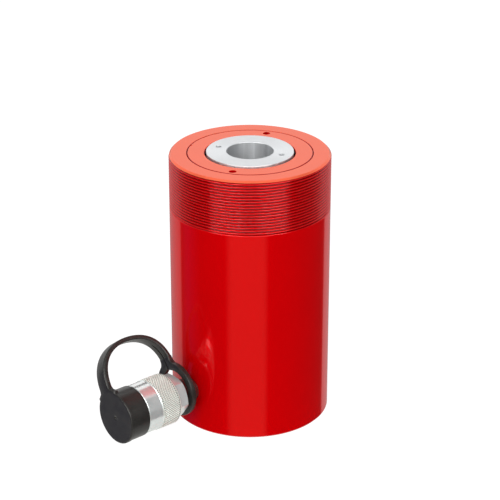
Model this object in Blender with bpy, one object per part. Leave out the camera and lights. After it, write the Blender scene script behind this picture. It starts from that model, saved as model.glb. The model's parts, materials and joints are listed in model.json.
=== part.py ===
# A hollow plunger hydraulic cylinder, single acting with spring return.
#
# Sizes are in metres. The cylinder stands on z = 0 with its axis on Z, and its coupler points
# along -Y. Round pieces are outlines of (radius, height) turned about their own axis, and the
# pieces of the coupler hang on an empty whose Z points out of the coupler.
import math

import bmesh
import bpy
from mathutils import Matrix, Vector

# Clearances, and how far a cutter runs past the face it opens
SEAT_GAP = 0.0003
RUNNING_GAP = 0.0003
CUTTER_OVERRUN = 0.005

# Broken edges
EDGE_CHAMFER = 0.0008
FINE_CHAMFER = 0.0004

# Walls and rooms of the cylinder, from the center hole outwards
CENTER_HOLE_DIAMETER = 0.0333
TUBE_WALL = 0.0055
PLUNGER_WALL = 0.0093
SPRING_WIRE = 0.0065
SPRING_SIDE_ROOM = 0.0006
SKIRT_WALL = 0.0031
BARREL_WALL = 0.0143

# Heights of the cylinder, from the floor upwards
BASE_THICKNESS = 0.022
PISTON_FOOT_HEIGHT = 0.015
PISTON_LAND = 0.0029
SPRING_TURNS = 6
SPRING_SOLID_ROOM = 0.004
STROKE = 0.064
STOP_RING_DEPTH = 0.028

# Barrel
THREADED_COLLAR_LENGTH = 0.0402
COLLAR_THREAD_RELIEF = 0.0004
BARREL_TOP_CHAMFER = 0.0013
BARREL_FOOT_CHAMFER = 0.0012
RING_THREAD_STEP = 0.0016
MOUNTING_HOLE_DIAMETER = 0.008
MOUNTING_HOLE_DEPTH = 0.014
MOUNTING_HOLE_INSET = 0.01105
MOUNTING_HOLE_ANGLES = (0.0, 180.0)

# Center tube and its seal
TUBE_FLANGE_WIDTH = 0.004
TUBE_FLANGE_HEIGHT = 0.0055
BASE_SEAL_SECTION = 0.003
BASE_SEAL_LIFT = 0.0045

# Seals and bearings of the piston, the same against the barrel and against the tube
CUP_WIDTH = 0.0036
CUP_HEIGHT = 0.0061
CUP_NOTCH = 0.0012
BACKUP_HEIGHT = 0.002
BEARING_WIDTH = 0.0022
BEARING_HEIGHT = 0.0061
FOOT_RELIEF = 0.0045

# Stop ring with its wiper and bearing
WIPER_WIDTH = 0.0034
WIPER_HEIGHT = 0.004
WIPER_TOP_LAND = 0.0022
GLAND_LAND = 0.005
ROD_BEARING_HEIGHT = 0.009
RING_PIN_HOLE_DIAMETER = 0.0052
RING_PIN_HOLE_DEPTH = 0.008
RING_PIN_HOLE_INSET = 0.0047
RING_PIN_HOLE_ANGLES = (121.3, 301.3)

# Saddle
SADDLE_PROUD = 0.001
SADDLE_FLANGE_THICKNESS = 0.008
SADDLE_FLANGE_INSET = 0.00095
SADDLE_SPIGOT_LENGTH = 0.014
SADDLE_THREAD_STEP = 0.0035
SADDLE_PIN_HOLE_DIAMETER = 0.0038
SADDLE_PIN_HOLE_DEPTH = 0.006
SADDLE_PIN_HOLE_INSET = 0.0074
SADDLE_PIN_HOLE_ANGLES = (28.8, 208.8)

# Oil port in the barrel
PORT_RISE = 0.008
PORT_THREAD_DIAMETER = 0.0178
PORT_FLOOR = 0.002
OILWAY_DIAMETER = 0.006

# Coupler body, its distances counted along its axis from the barrel's side
NECK_SHOULDER = 0.0014
NECK_LENGTH = 0.0134
HEX_STEP = 0.00065
HEX_THICKNESS = 0.0085
HEX_TURN = -5.3
HEX_CHAMFER_SLOPE = 0.6
VALVE_CHAMBER_DIAMETER = 0.015
VALVE_CHAMBER_WALL = 0.0057
VALVE_CHAMBER_END_WALL = 0.0025
BODY_NOSE_LENGTH = 0.0085
BODY_NOSE_WALL = 0.0022

# Coupler valve
VALVE_SEAT_STEP = 0.0012
VALVE_SEAT_THICKNESS = 0.0043
VALVE_ORIFICE_DIAMETER = 0.0088
VALVE_CONE_HEIGHT = 0.0026
POPPET_CLEARANCE = 0.0009
POPPET_STEM_DIAMETER = 0.0046
POPPET_FLANGE_THICKNESS = 0.0061
POPPET_NOSE_LENGTH = 0.004
POPPET_TRAVEL = 0.003
GUIDE_THICKNESS = 0.002
GUIDE_SLOT_DIAMETER = 0.0028
VALVE_SPRING_WIRE = 0.0011
VALVE_SPRING_TURNS = 5
VALVE_SPRING_ROOM = 0.0033
NOSE_SEAL_SECTION = 0.0018
NOSE_SEAL_DEPTH = 0.0026

# Coupler sleeve and the snap ring that keeps it
SLEEVE_BACK_GAP = 0.0007
SLEEVE_LIP_LENGTH = 0.0124
SLEEVE_PLAY = 0.0004
SNAP_RING_THICKNESS = 0.0016
SNAP_RING_HEIGHT = 0.0011
SNAP_RING_GROOVE_DEPTH = 0.0009
SNAP_RING_OPENING = 60.0
KNURL_LENGTH = 0.0163
KNURL_STEP = 0.0005
BAND_LENGTH = 0.0116
BAND_STEP = 0.0017
SLEEVE_NOSE_LENGTH = 0.0132
SLEEVE_NOSE_WALL = 0.0017

# Dust cap, its ring round the neck and its strap
CAP_SKIRT_WALL = 0.0019
CAP_DISC_THICKNESS = 0.0033
CAP_RIM_STEP = 0.0004
CAP_RIM_ROUND = 0.0009
CAP_DIMPLE_DIAMETER = 0.003
CAP_DIMPLE_DEPTH = 0.0006
RING_BACK = 0.0075
RING_CORD_WIDTH = 0.0041
RING_CORD_THICKNESS = 0.0035
RING_SLACK = 0.0036
RING_LEAN = 155.0
STRAP_ANGLE = 127.0
STRAP_CAP_END_WIDTH = 0.0098
STRAP_RING_END_WIDTH = 0.008
STRAP_THICKNESS = 0.0032
STRAP_HEIGHT = 0.0295
STRAP_SHOULDER = 0.3
STRAP_CAP_RISE = 0.63
STRAP_RING_RISE = 0.47

# Facets
CYLINDER_FACETS = 36
OUTER_SEAL_FACETS = 30
INNER_SEAL_FACETS = 24
COUPLER_FACETS = 24
SMALL_FACETS = 16
COIL_STEPS = 14
COIL_SIDES = 8
SMALL_COIL_STEPS = 10
SMALL_COIL_SIDES = 6
STRAP_STEPS = 18

# Finishes: colour, roughness and metallic value
RED_ENAMEL = ((0.58, 0.0, 0.0), 0.2, 0.0)
BRIGHT_STEEL = ((0.8, 0.8, 0.82), 0.25, 1.0)
ZINC_PLATE = ((0.72, 0.72, 0.7), 0.28, 1.0)
DARK_STEEL = ((0.3, 0.3, 0.31), 0.4, 1.0)
SPRING_STEEL = ((0.12, 0.12, 0.13), 0.45, 1.0)
BLACK_RUBBER = ((0.02, 0.02, 0.022), 0.6, 0.0)
AMBER_POLYMER = ((0.55, 0.3, 0.08), 0.5, 0.0)
WHITE_POLYMER = ((0.75, 0.75, 0.72), 0.5, 0.0)
BRONZE = ((0.55, 0.35, 0.12), 0.4, 1.0)

# Radii of the cylinder
HOLE_RADIUS = CENTER_HOLE_DIAMETER / 2
TUBE_RADIUS = HOLE_RADIUS + TUBE_WALL
PLUNGER_BORE = TUBE_RADIUS + RUNNING_GAP
PLUNGER_RADIUS = PLUNGER_BORE + PLUNGER_WALL
SPRING_MEAN_RADIUS = PLUNGER_RADIUS + SPRING_SIDE_ROOM + SPRING_WIRE / 2
SKIRT_BORE = SPRING_MEAN_RADIUS + SPRING_WIRE / 2 + SPRING_SIDE_ROOM
PISTON_RADIUS = SKIRT_BORE + SKIRT_WALL
BARREL_BORE = PISTON_RADIUS + RUNNING_GAP
BARREL_RADIUS = BARREL_BORE + BARREL_WALL
RING_THREAD_RADIUS = BARREL_BORE + RING_THREAD_STEP
RING_RADIUS = RING_THREAD_RADIUS - SEAT_GAP
RING_BORE = PLUNGER_RADIUS + RUNNING_GAP
SADDLE_RADIUS = PLUNGER_RADIUS - SADDLE_FLANGE_INSET
SADDLE_THREAD_RADIUS = PLUNGER_BORE + SADDLE_THREAD_STEP

# Heights of the cylinder
CUP_GROOVE_HEIGHT = CUP_HEIGHT + BACKUP_HEIGHT + 3 * SEAT_GAP
BEARING_GROOVE_HEIGHT = BEARING_HEIGHT + 2 * SEAT_GAP
PISTON_BOTTOM = BASE_THICKNESS + SEAT_GAP
HEAD_BOTTOM = PISTON_BOTTOM + PISTON_FOOT_HEIGHT
CUP_GROOVE_BOTTOM = HEAD_BOTTOM + PISTON_LAND
CUP_GROOVE_TOP = CUP_GROOVE_BOTTOM + CUP_GROOVE_HEIGHT
BEARING_GROOVE_BOTTOM = CUP_GROOVE_TOP + PISTON_LAND
BEARING_GROOVE_TOP = BEARING_GROOVE_BOTTOM + BEARING_GROOVE_HEIGHT
HEAD_TOP = BEARING_GROOVE_TOP + PISTON_LAND
SKIRT_TOP = HEAD_TOP + SPRING_TURNS * SPRING_WIRE + SPRING_SOLID_ROOM
RING_BOTTOM = SKIRT_TOP + STROKE + SEAT_GAP
BARREL_TOP = RING_BOTTOM + STOP_RING_DEPTH
COLLAR_BOTTOM = BARREL_TOP - THREADED_COLLAR_LENGTH
SADDLE_TOP = BARREL_TOP + SADDLE_PROUD
SADDLE_FLANGE_BOTTOM = SADDLE_TOP - SADDLE_FLANGE_THICKNESS
SADDLE_BOTTOM = SADDLE_FLANGE_BOTTOM - SADDLE_SPIGOT_LENGTH
PLUNGER_TOP = SADDLE_FLANGE_BOTTOM - SEAT_GAP
TUBE_TOP = SADDLE_BOTTOM - SEAT_GAP
PORT_HEIGHT = BASE_THICKNESS + PORT_RISE

# Radii of the coupler
PORT_RADIUS = PORT_THREAD_DIAMETER / 2
NIPPLE_RADIUS = PORT_RADIUS - SEAT_GAP
NECK_RADIUS = PORT_RADIUS + NECK_SHOULDER
CHAMBER_RADIUS = VALVE_CHAMBER_DIAMETER / 2
HOUSING_RADIUS = CHAMBER_RADIUS + VALVE_CHAMBER_WALL
HEX_FLAT_RADIUS = HOUSING_RADIUS + HEX_STEP
HEX_CORNER_RADIUS = HEX_FLAT_RADIUS / math.cos(math.pi / 6)
RECESS_RADIUS = CHAMBER_RADIUS + VALVE_SEAT_STEP + SEAT_GAP
BODY_NOSE_RADIUS = RECESS_RADIUS + BODY_NOSE_WALL
SNAP_RING_RADIUS = HOUSING_RADIUS + SNAP_RING_HEIGHT
SLEEVE_LIP_RADIUS = HOUSING_RADIUS + RUNNING_GAP
SLEEVE_BORE = SNAP_RING_RADIUS + RUNNING_GAP
SLEEVE_NOSE_RADIUS = SLEEVE_BORE + SLEEVE_NOSE_WALL
BAND_RADIUS = SLEEVE_NOSE_RADIUS + BAND_STEP
KNURL_RADIUS = BAND_RADIUS + KNURL_STEP
CAP_BORE = SLEEVE_NOSE_RADIUS + RUNNING_GAP
CAP_SKIRT_RADIUS = CAP_BORE + CAP_SKIRT_WALL
CAP_RIM_RADIUS = CAP_SKIRT_RADIUS + CAP_RIM_STEP

# Stations along the coupler's axis, counted from the barrel's side
NIPPLE_END = -(BARREL_WALL - PORT_FLOOR - SEAT_GAP)
HEX_BACK = NECK_LENGTH
HEX_FRONT = HEX_BACK + HEX_THICKNESS
SLEEVE_BACK = HEX_FRONT + SLEEVE_BACK_GAP
SLEEVE_LIP_FRONT = SLEEVE_BACK + SLEEVE_LIP_LENGTH
SNAP_RING_BACK = SLEEVE_LIP_FRONT + SLEEVE_PLAY
SNAP_RING_FRONT = SNAP_RING_BACK + SNAP_RING_THICKNESS
HOUSING_FRONT = SNAP_RING_FRONT + SEAT_GAP + SNAP_RING_THICKNESS
CHAMBER_FRONT = HOUSING_FRONT - VALVE_CHAMBER_END_WALL
VALVE_SEAT_BACK = CHAMBER_FRONT + SEAT_GAP
VALVE_SEAT_FRONT = VALVE_SEAT_BACK + VALVE_SEAT_THICKNESS
BODY_NOSE_FRONT = HOUSING_FRONT + BODY_NOSE_LENGTH
POPPET_RADIUS = CHAMBER_RADIUS - POPPET_CLEARANCE
POPPET_NOSE_RADIUS = VALVE_ORIFICE_DIAMETER / 2 - POPPET_CLEARANCE
SEAT_CONE_LINE = VALVE_ORIFICE_DIAMETER / 2 + VALVE_CONE_HEIGHT + VALVE_SEAT_BACK
POPPET_CONE_LINE = SEAT_CONE_LINE - 1.5 * SEAT_GAP
POPPET_FLANGE_BACK = POPPET_CONE_LINE - POPPET_RADIUS - POPPET_FLANGE_THICKNESS
VALVE_SPRING_FRONT = POPPET_FLANGE_BACK - SEAT_GAP
VALVE_SPRING_SOLID = VALVE_SPRING_TURNS * VALVE_SPRING_WIRE
VALVE_SPRING_BACK = VALVE_SPRING_FRONT - VALVE_SPRING_SOLID - POPPET_TRAVEL - VALVE_SPRING_ROOM
GUIDE_FRONT = VALVE_SPRING_BACK - SEAT_GAP
GUIDE_BACK = GUIDE_FRONT - GUIDE_THICKNESS
CHAMBER_FLOOR = GUIDE_BACK - SEAT_GAP
KNURL_FRONT = SLEEVE_BACK + KNURL_LENGTH
BAND_FRONT = KNURL_FRONT + BAND_LENGTH
SLEEVE_FRONT = BAND_FRONT + SLEEVE_NOSE_LENGTH
CAP_BACK = BAND_FRONT + SEAT_GAP
CAP_FLOOR = SLEEVE_FRONT + SEAT_GAP
CAP_FRONT = CAP_FLOOR + CAP_DISC_THICKNESS


def polar(radius, degrees):
    """The point at this radius and angle about Z."""
    angle = math.radians(degrees)
    return Vector((radius * math.cos(angle), radius * math.sin(angle), 0.0))


def softened(corners):
    """A closed outline whose marked corners are cut back.

    A corner is (radius, height), (radius, height, size) for a chamfer, or
    (radius, height, size, steps) for a round of that many steps.
    """
    outline = []
    for index, corner in enumerate(corners):
        point = Vector(corner[:2])
        if len(corner) == 2:
            outline.append(point)
            continue
        size = corner[2]
        steps = corner[3] if len(corner) > 3 else 1
        back = (Vector(corners[index - 1][:2]) - point).normalized() * size
        ahead = (Vector(corners[(index + 1) % len(corners)][:2]) - point).normalized() * size
        for step in range(steps + 1):
            share = step / steps
            outline.append(point + back * (1 - share) ** 2 + ahead * share**2)
    return outline


def finished(name, finish):
    """A Principled material of this finish."""
    colour, roughness, metallic = finish
    material = bpy.data.materials.new(name)
    material.use_nodes = True
    surface = material.node_tree.nodes["Principled BSDF"]
    surface.inputs["Base Color"].default_value = (*colour, 1.0)
    surface.inputs["Roughness"].default_value = roughness
    surface.inputs["Metallic"].default_value = metallic
    return material


def add_object(name, shape, finish=None, parent=None):
    """An object of the bmesh, which is used up."""
    mesh = bpy.data.meshes.new(name)
    bmesh.ops.recalc_face_normals(shape, faces=shape.faces)
    shape.to_mesh(mesh)
    shape.free()
    mesh.shade_smooth()
    mesh.set_sharp_from_angle(angle=math.radians(35))
    item = bpy.data.objects.new(name, mesh)
    bpy.context.scene.collection.objects.link(item)
    item.parent = parent
    if finish:
        mesh.materials.append(finished(name, finish))
    return item


def add_axis(name, parent=None, matrix=None):
    """An empty that carries the pieces of one axis."""
    axis = bpy.data.objects.new(name, None)
    axis.empty_display_type = "ARROWS"
    axis.empty_display_size = 0.03
    bpy.context.scene.collection.objects.link(axis)
    axis.parent = parent
    if matrix:
        axis.matrix_local = matrix
    return axis


def turned(corners, facets):
    """A bmesh of the closed outline turned about Z. An edge that lies on the axis makes no face."""
    shape = bmesh.new()
    ring = [shape.verts.new((point[0], 0.0, point[1])) for point in softened(corners)]
    edges = []
    for start, end in zip(ring, ring[1:] + ring[:1]):
        if max(start.co.x, end.co.x) > 1e-9:
            edges.append(shape.edges.new((start, end)))
    bmesh.ops.spin(
        shape, geom=ring + edges, axis=(0, 0, 1), cent=(0, 0, 0),
        angle=math.tau, steps=facets, use_merge=True,
    )
    bmesh.ops.remove_doubles(shape, verts=shape.verts, dist=1e-7)
    return shape


def rod(radius, low, high, facets):
    """A bmesh of a plain round rod about Z."""
    return turned([(0.0, low), (radius, low), (radius, high), (0.0, high)], facets)


def ring_band(inner, outer, low, high, facets):
    """A bmesh of a ring of rectangular section about Z."""
    return turned([(inner, low), (outer, low), (outer, high), (inner, high)], facets)


def round_ring(mean, section, height, facets):
    """A bmesh of a ring of round section about Z."""
    corners = []
    for side in range(SMALL_COIL_SIDES):
        angle = math.tau * side / SMALL_COIL_SIDES
        corners.append((mean + section / 2 * math.cos(angle), height + section / 2 * math.sin(angle)))
    return turned(corners, facets)


def use_tool(target, tool, operation="DIFFERENCE"):
    """A Boolean of the target with a tool that is not a piece of the cylinder."""
    tool.hide_render = True
    tool.display_type = "WIRE"
    modifier = target.modifiers.new(tool.name, "BOOLEAN")
    modifier.operation = operation
    modifier.solver = "EXACT"
    modifier.object = tool


def drill(target, name, diameter, low, high, places):
    """Round holes along the target's Z, from low to high, at these places."""
    shape = bmesh.new()
    for place in places:
        hole = rod(diameter / 2, low, high, SMALL_FACETS)
        mesh = bpy.data.meshes.new(name)
        hole.to_mesh(mesh)
        hole.free()
        mesh.transform(Matrix.Translation(place))
        shape.from_mesh(mesh)
        bpy.data.meshes.remove(mesh)
    tool = add_object(name, shape, parent=target.parent)
    use_tool(target, tool)


def swept(path, sides_at):
    """A bmesh of a closed section carried along a path, with flat ends.

    path holds (center, across, up) frames, and sides_at(index) the section's points
    counted along across and up.
    """
    shape = bmesh.new()
    rings = []
    for index, (center, across, up) in enumerate(path):
        rings.append([shape.verts.new(center + across * x + up * y) for x, y in sides_at(index)])
    for low, high in zip(rings, rings[1:]):
        for side in range(len(low)):
            after = (side + 1) % len(low)
            shape.faces.new((low[side], low[after], high[after], high[side]))
    shape.faces.new(rings[0])
    shape.faces.new(rings[-1])
    return shape


def coil(mean, wire, low, high, turns, steps, sides):
    """A bmesh of a compression spring about Z whose end turns lie close, before its ends are ground."""
    close_pitch = wire + SEAT_GAP
    start = low + wire / 4
    end = high - wire / 4
    open_pitch = (end - start - 2 * close_pitch) / (turns - 2)
    frames = []
    for step in range(turns * steps + 1):
        turn = step / steps
        climb = min(turn, 1) * close_pitch
        climb += min(max(turn - 1, 0), turns - 2) * open_pitch
        climb += max(turn - (turns - 1), 0) * close_pitch
        outward = polar(1.0, 360 * turn)
        frames.append((outward * mean + Vector((0, 0, start + climb)), outward, Vector((0, 0, 1))))
    section = []
    for side in range(sides):
        angle = math.tau * (side + 0.5) / sides
        section.append((wire / 2 * math.cos(angle), wire / 2 * math.sin(angle)))
    return swept(frames, lambda index: section)


def add_spring(name, shape, mean, wire, low, high, parent):
    """A compression spring whose two ends are ground flat at low and high."""
    spring = add_object(name, shape, SPRING_STEEL, parent)
    room = ring_band(mean - wire, mean + wire, low, high, COUPLER_FACETS)
    use_tool(spring, add_object(name + "_ground_length", room, parent=parent), "INTERSECT")
    return spring


def cup_seal(inner, outer, low, high, facets):
    """A bmesh of a U-cup: a ring with a V notch in the face that the oil presses on."""
    middle = (inner + outer) / 2
    corners = [
        (inner, low), (middle - CUP_NOTCH, low), (middle, low + 2 * CUP_NOTCH),
        (middle + CUP_NOTCH, low), (outer, low), (outer, high), (inner, high),
    ]
    return turned(corners, facets)


def build_barrel(axis, coupler_axis):
    """One-piece barrel with its base, threaded collar, oil port and mounting holes."""
    seal_radius = TUBE_RADIUS + BASE_SEAL_SECTION + SEAT_GAP
    seal_low = TUBE_FLANGE_HEIGHT + BASE_SEAL_LIFT
    seal_high = seal_low + BASE_SEAL_SECTION + 2 * SEAT_GAP
    flange_radius = TUBE_RADIUS + TUBE_FLANGE_WIDTH + SEAT_GAP
    flange_top = TUBE_FLANGE_HEIGHT + 2 * SEAT_GAP
    hole_radius = TUBE_RADIUS + SEAT_GAP
    corners = [
        (flange_radius, 0.0),
        (BARREL_RADIUS, 0.0, BARREL_FOOT_CHAMFER),
        (BARREL_RADIUS, COLLAR_BOTTOM),
        (BARREL_RADIUS - COLLAR_THREAD_RELIEF, COLLAR_BOTTOM + COLLAR_THREAD_RELIEF),
        (BARREL_RADIUS - COLLAR_THREAD_RELIEF, BARREL_TOP, BARREL_TOP_CHAMFER),
        (RING_THREAD_RADIUS, BARREL_TOP, FINE_CHAMFER),
        (RING_THREAD_RADIUS, RING_BOTTOM - SEAT_GAP),
        (BARREL_BORE, RING_BOTTOM - SEAT_GAP),
        (BARREL_BORE, BASE_THICKNESS),
        (hole_radius, BASE_THICKNESS),
        (hole_radius, seal_high),
        (seal_radius, seal_high),
        (seal_radius, seal_low),
        (hole_radius, seal_low),
        (hole_radius, flange_top),
        (flange_radius, flange_top),
    ]
    barrel = add_object("cylinder_barrel", turned(corners, CYLINDER_FACETS), RED_ENAMEL, axis)
    places = [polar(BARREL_RADIUS - MOUNTING_HOLE_INSET, angle) for angle in MOUNTING_HOLE_ANGLES]
    drill(barrel, "mounting_holes", MOUNTING_HOLE_DIAMETER, -CUTTER_OVERRUN, MOUNTING_HOLE_DEPTH, places)
    port_end = NIPPLE_END - SEAT_GAP
    oilway_end = -BARREL_WALL - RUNNING_GAP - SKIRT_WALL / 2
    port = [
        (0.0, oilway_end), (OILWAY_DIAMETER / 2, oilway_end), (OILWAY_DIAMETER / 2, port_end),
        (PORT_RADIUS, port_end), (PORT_RADIUS, NECK_LENGTH), (0.0, NECK_LENGTH),
    ]
    tool = add_object("oil_port", turned(port, COUPLER_FACETS), parent=coupler_axis)
    use_tool(barrel, tool)


def build_center_tube(axis):
    """Guide tube with its foot flange in the base, and the seal above the flange."""
    corners = [
        (HOLE_RADIUS, SEAT_GAP, EDGE_CHAMFER),
        (TUBE_RADIUS + TUBE_FLANGE_WIDTH, SEAT_GAP),
        (TUBE_RADIUS + TUBE_FLANGE_WIDTH, SEAT_GAP + TUBE_FLANGE_HEIGHT),
        (TUBE_RADIUS, SEAT_GAP + TUBE_FLANGE_HEIGHT),
        (TUBE_RADIUS, TUBE_TOP, EDGE_CHAMFER),
        (HOLE_RADIUS, TUBE_TOP, EDGE_CHAMFER),
    ]
    add_object("center_tube", turned(corners, CYLINDER_FACETS), BRIGHT_STEEL, axis)
    low = TUBE_FLANGE_HEIGHT + BASE_SEAL_LIFT + SEAT_GAP
    seal = ring_band(
        TUBE_RADIUS + SEAT_GAP, TUBE_RADIUS + BASE_SEAL_SECTION, low, low + BASE_SEAL_SECTION,
        INNER_SEAL_FACETS,
    )
    add_object("tube_base_seal", seal, BLACK_RUBBER, axis)


def build_stop_ring(axis):
    """Threaded ring that closes the barrel, with its wiper and bearing round the plunger."""
    wiper_high = BARREL_TOP - WIPER_TOP_LAND
    wiper_low = wiper_high - WIPER_HEIGHT - 2 * SEAT_GAP
    bearing_high = wiper_low - GLAND_LAND
    bearing_low = bearing_high - ROD_BEARING_HEIGHT - 2 * SEAT_GAP
    wiper_groove = RING_BORE + WIPER_WIDTH + SEAT_GAP
    bearing_groove = RING_BORE + BEARING_WIDTH + SEAT_GAP
    corners = [
        (RING_BORE, RING_BOTTOM),
        (RING_RADIUS, RING_BOTTOM, FINE_CHAMFER),
        (RING_RADIUS, BARREL_TOP, FINE_CHAMFER),
        (RING_BORE, BARREL_TOP, FINE_CHAMFER),
        (RING_BORE, wiper_high),
        (wiper_groove, wiper_high),
        (wiper_groove, wiper_low),
        (RING_BORE, wiper_low),
        (RING_BORE, bearing_high),
        (bearing_groove, bearing_high),
        (bearing_groove, bearing_low),
        (RING_BORE, bearing_low),
    ]
    ring = add_object("stop_ring", turned(corners, CYLINDER_FACETS), RED_ENAMEL, axis)
    places = [polar(RING_RADIUS - RING_PIN_HOLE_INSET, angle) for angle in RING_PIN_HOLE_ANGLES]
    low = BARREL_TOP - RING_PIN_HOLE_DEPTH
    high = BARREL_TOP + CUTTER_OVERRUN
    drill(ring, "stop_ring_pin_holes", RING_PIN_HOLE_DIAMETER, low, high, places)
    inner = PLUNGER_RADIUS + RUNNING_GAP
    lip = WIPER_HEIGHT / 2
    wiper = [
        (inner + RUNNING_GAP, wiper_low + SEAT_GAP),
        (inner + WIPER_WIDTH, wiper_low + SEAT_GAP),
        (inner + WIPER_WIDTH, wiper_high - SEAT_GAP),
        (inner + lip, wiper_high - SEAT_GAP),
        (inner, wiper_high - SEAT_GAP),
        (inner + RUNNING_GAP, wiper_high - lip),
    ]
    add_object("rod_wiper", turned(wiper, OUTER_SEAL_FACETS), BLACK_RUBBER, axis)
    bearing = ring_band(
        inner, inner + BEARING_WIDTH, bearing_low + SEAT_GAP, bearing_high - SEAT_GAP, OUTER_SEAL_FACETS
    )
    add_object("rod_bearing", bearing, BRONZE, axis)


def build_return_spring(axis):
    """Spring between the piston's head and the stop ring."""
    low = HEAD_TOP + SEAT_GAP
    high = RING_BOTTOM - SEAT_GAP
    shape = coil(SPRING_MEAN_RADIUS, SPRING_WIRE, low, high, SPRING_TURNS, COIL_STEPS, COIL_SIDES)
    add_spring("return_spring", shape, SPRING_MEAN_RADIUS, SPRING_WIRE, low, high, axis)


def build_plunger(axis):
    """Plunger and piston in one piece, with the skirt that stops it under the stop ring."""
    outer_cup = PISTON_RADIUS - CUP_WIDTH
    outer_bearing = PISTON_RADIUS - BEARING_WIDTH
    inner_cup = PLUNGER_BORE + CUP_WIDTH
    inner_bearing = PLUNGER_BORE + BEARING_WIDTH
    corners = [
        (PLUNGER_BORE, PISTON_BOTTOM, EDGE_CHAMFER),
        (PISTON_RADIUS - FOOT_RELIEF, PISTON_BOTTOM, EDGE_CHAMFER),
        (PISTON_RADIUS - FOOT_RELIEF, HEAD_BOTTOM),
        (PISTON_RADIUS, HEAD_BOTTOM, EDGE_CHAMFER),
        (PISTON_RADIUS, CUP_GROOVE_BOTTOM),
        (outer_cup, CUP_GROOVE_BOTTOM),
        (outer_cup, CUP_GROOVE_TOP),
        (PISTON_RADIUS, CUP_GROOVE_TOP),
        (PISTON_RADIUS, BEARING_GROOVE_BOTTOM),
        (outer_bearing, BEARING_GROOVE_BOTTOM),
        (outer_bearing, BEARING_GROOVE_TOP),
        (PISTON_RADIUS, BEARING_GROOVE_TOP),
        (PISTON_RADIUS, SKIRT_TOP),
        (SKIRT_BORE, SKIRT_TOP),
        (SKIRT_BORE, HEAD_TOP),
        (PLUNGER_RADIUS, HEAD_TOP),
        (PLUNGER_RADIUS, PLUNGER_TOP, FINE_CHAMFER),
        (SADDLE_THREAD_RADIUS, PLUNGER_TOP),
        (SADDLE_THREAD_RADIUS, SADDLE_BOTTOM - SEAT_GAP),
        (PLUNGER_BORE, SADDLE_BOTTOM - SEAT_GAP),
        (PLUNGER_BORE, BEARING_GROOVE_TOP),
        (inner_bearing, BEARING_GROOVE_TOP),
        (inner_bearing, BEARING_GROOVE_BOTTOM),
        (PLUNGER_BORE, BEARING_GROOVE_BOTTOM),
        (PLUNGER_BORE, CUP_GROOVE_TOP),
        (inner_cup, CUP_GROOVE_TOP),
        (inner_cup, CUP_GROOVE_BOTTOM),
        (PLUNGER_BORE, CUP_GROOVE_BOTTOM),
    ]
    add_object("plunger", turned(corners, CYLINDER_FACETS), BRIGHT_STEEL, axis)


def build_piston_seals(axis):
    """The two sets of cup, backup ring and bearing, one against the barrel, one against the tube."""
    cup_low = CUP_GROOVE_BOTTOM + SEAT_GAP
    cup_high = cup_low + CUP_HEIGHT
    backup_low = cup_high + SEAT_GAP
    backup_high = backup_low + BACKUP_HEIGHT
    bearing_low = BEARING_GROOVE_BOTTOM + SEAT_GAP
    bearing_high = bearing_low + BEARING_HEIGHT
    outer_cup = (PISTON_RADIUS - CUP_WIDTH + SEAT_GAP, PISTON_RADIUS)
    outer_bearing = (PISTON_RADIUS - BEARING_WIDTH + SEAT_GAP, PISTON_RADIUS)
    inner_cup = (PLUNGER_BORE, PLUNGER_BORE + CUP_WIDTH - SEAT_GAP)
    inner_bearing = (PLUNGER_BORE, PLUNGER_BORE + BEARING_WIDTH - SEAT_GAP)
    sets = (
        ("piston", outer_cup, outer_bearing, OUTER_SEAL_FACETS),
        ("tube", inner_cup, inner_bearing, INNER_SEAL_FACETS),
    )
    for side, cup, bearing, facets in sets:
        shape = cup_seal(*cup, cup_low, cup_high, facets)
        add_object(side + "_seal", shape, AMBER_POLYMER, axis)
        shape = ring_band(*cup, backup_low, backup_high, facets)
        add_object(side + "_backup_ring", shape, WHITE_POLYMER, axis)
        shape = ring_band(*bearing, bearing_low, bearing_high, facets)
        add_object(side + "_bearing", shape, BRONZE, axis)


def build_saddle(axis):
    """Screwed-in saddle whose hole carries on the center hole, with its pin-spanner holes."""
    spigot_radius = SADDLE_THREAD_RADIUS - SEAT_GAP
    corners = [
        (HOLE_RADIUS, SADDLE_BOTTOM, EDGE_CHAMFER),
        (spigot_radius, SADDLE_BOTTOM, EDGE_CHAMFER),
        (spigot_radius, SADDLE_FLANGE_BOTTOM),
        (SADDLE_RADIUS, SADDLE_FLANGE_BOTTOM),
        (SADDLE_RADIUS, SADDLE_TOP, EDGE_CHAMFER),
        (HOLE_RADIUS, SADDLE_TOP, EDGE_CHAMFER),
    ]
    saddle = add_object("saddle", turned(corners, CYLINDER_FACETS), BRIGHT_STEEL, axis)
    places = [polar(SADDLE_RADIUS - SADDLE_PIN_HOLE_INSET, angle) for angle in SADDLE_PIN_HOLE_ANGLES]
    low = SADDLE_TOP - SADDLE_PIN_HOLE_DEPTH
    high = SADDLE_TOP + CUTTER_OVERRUN
    drill(saddle, "saddle_pin_holes", SADDLE_PIN_HOLE_DIAMETER, low, high, places)


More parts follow.
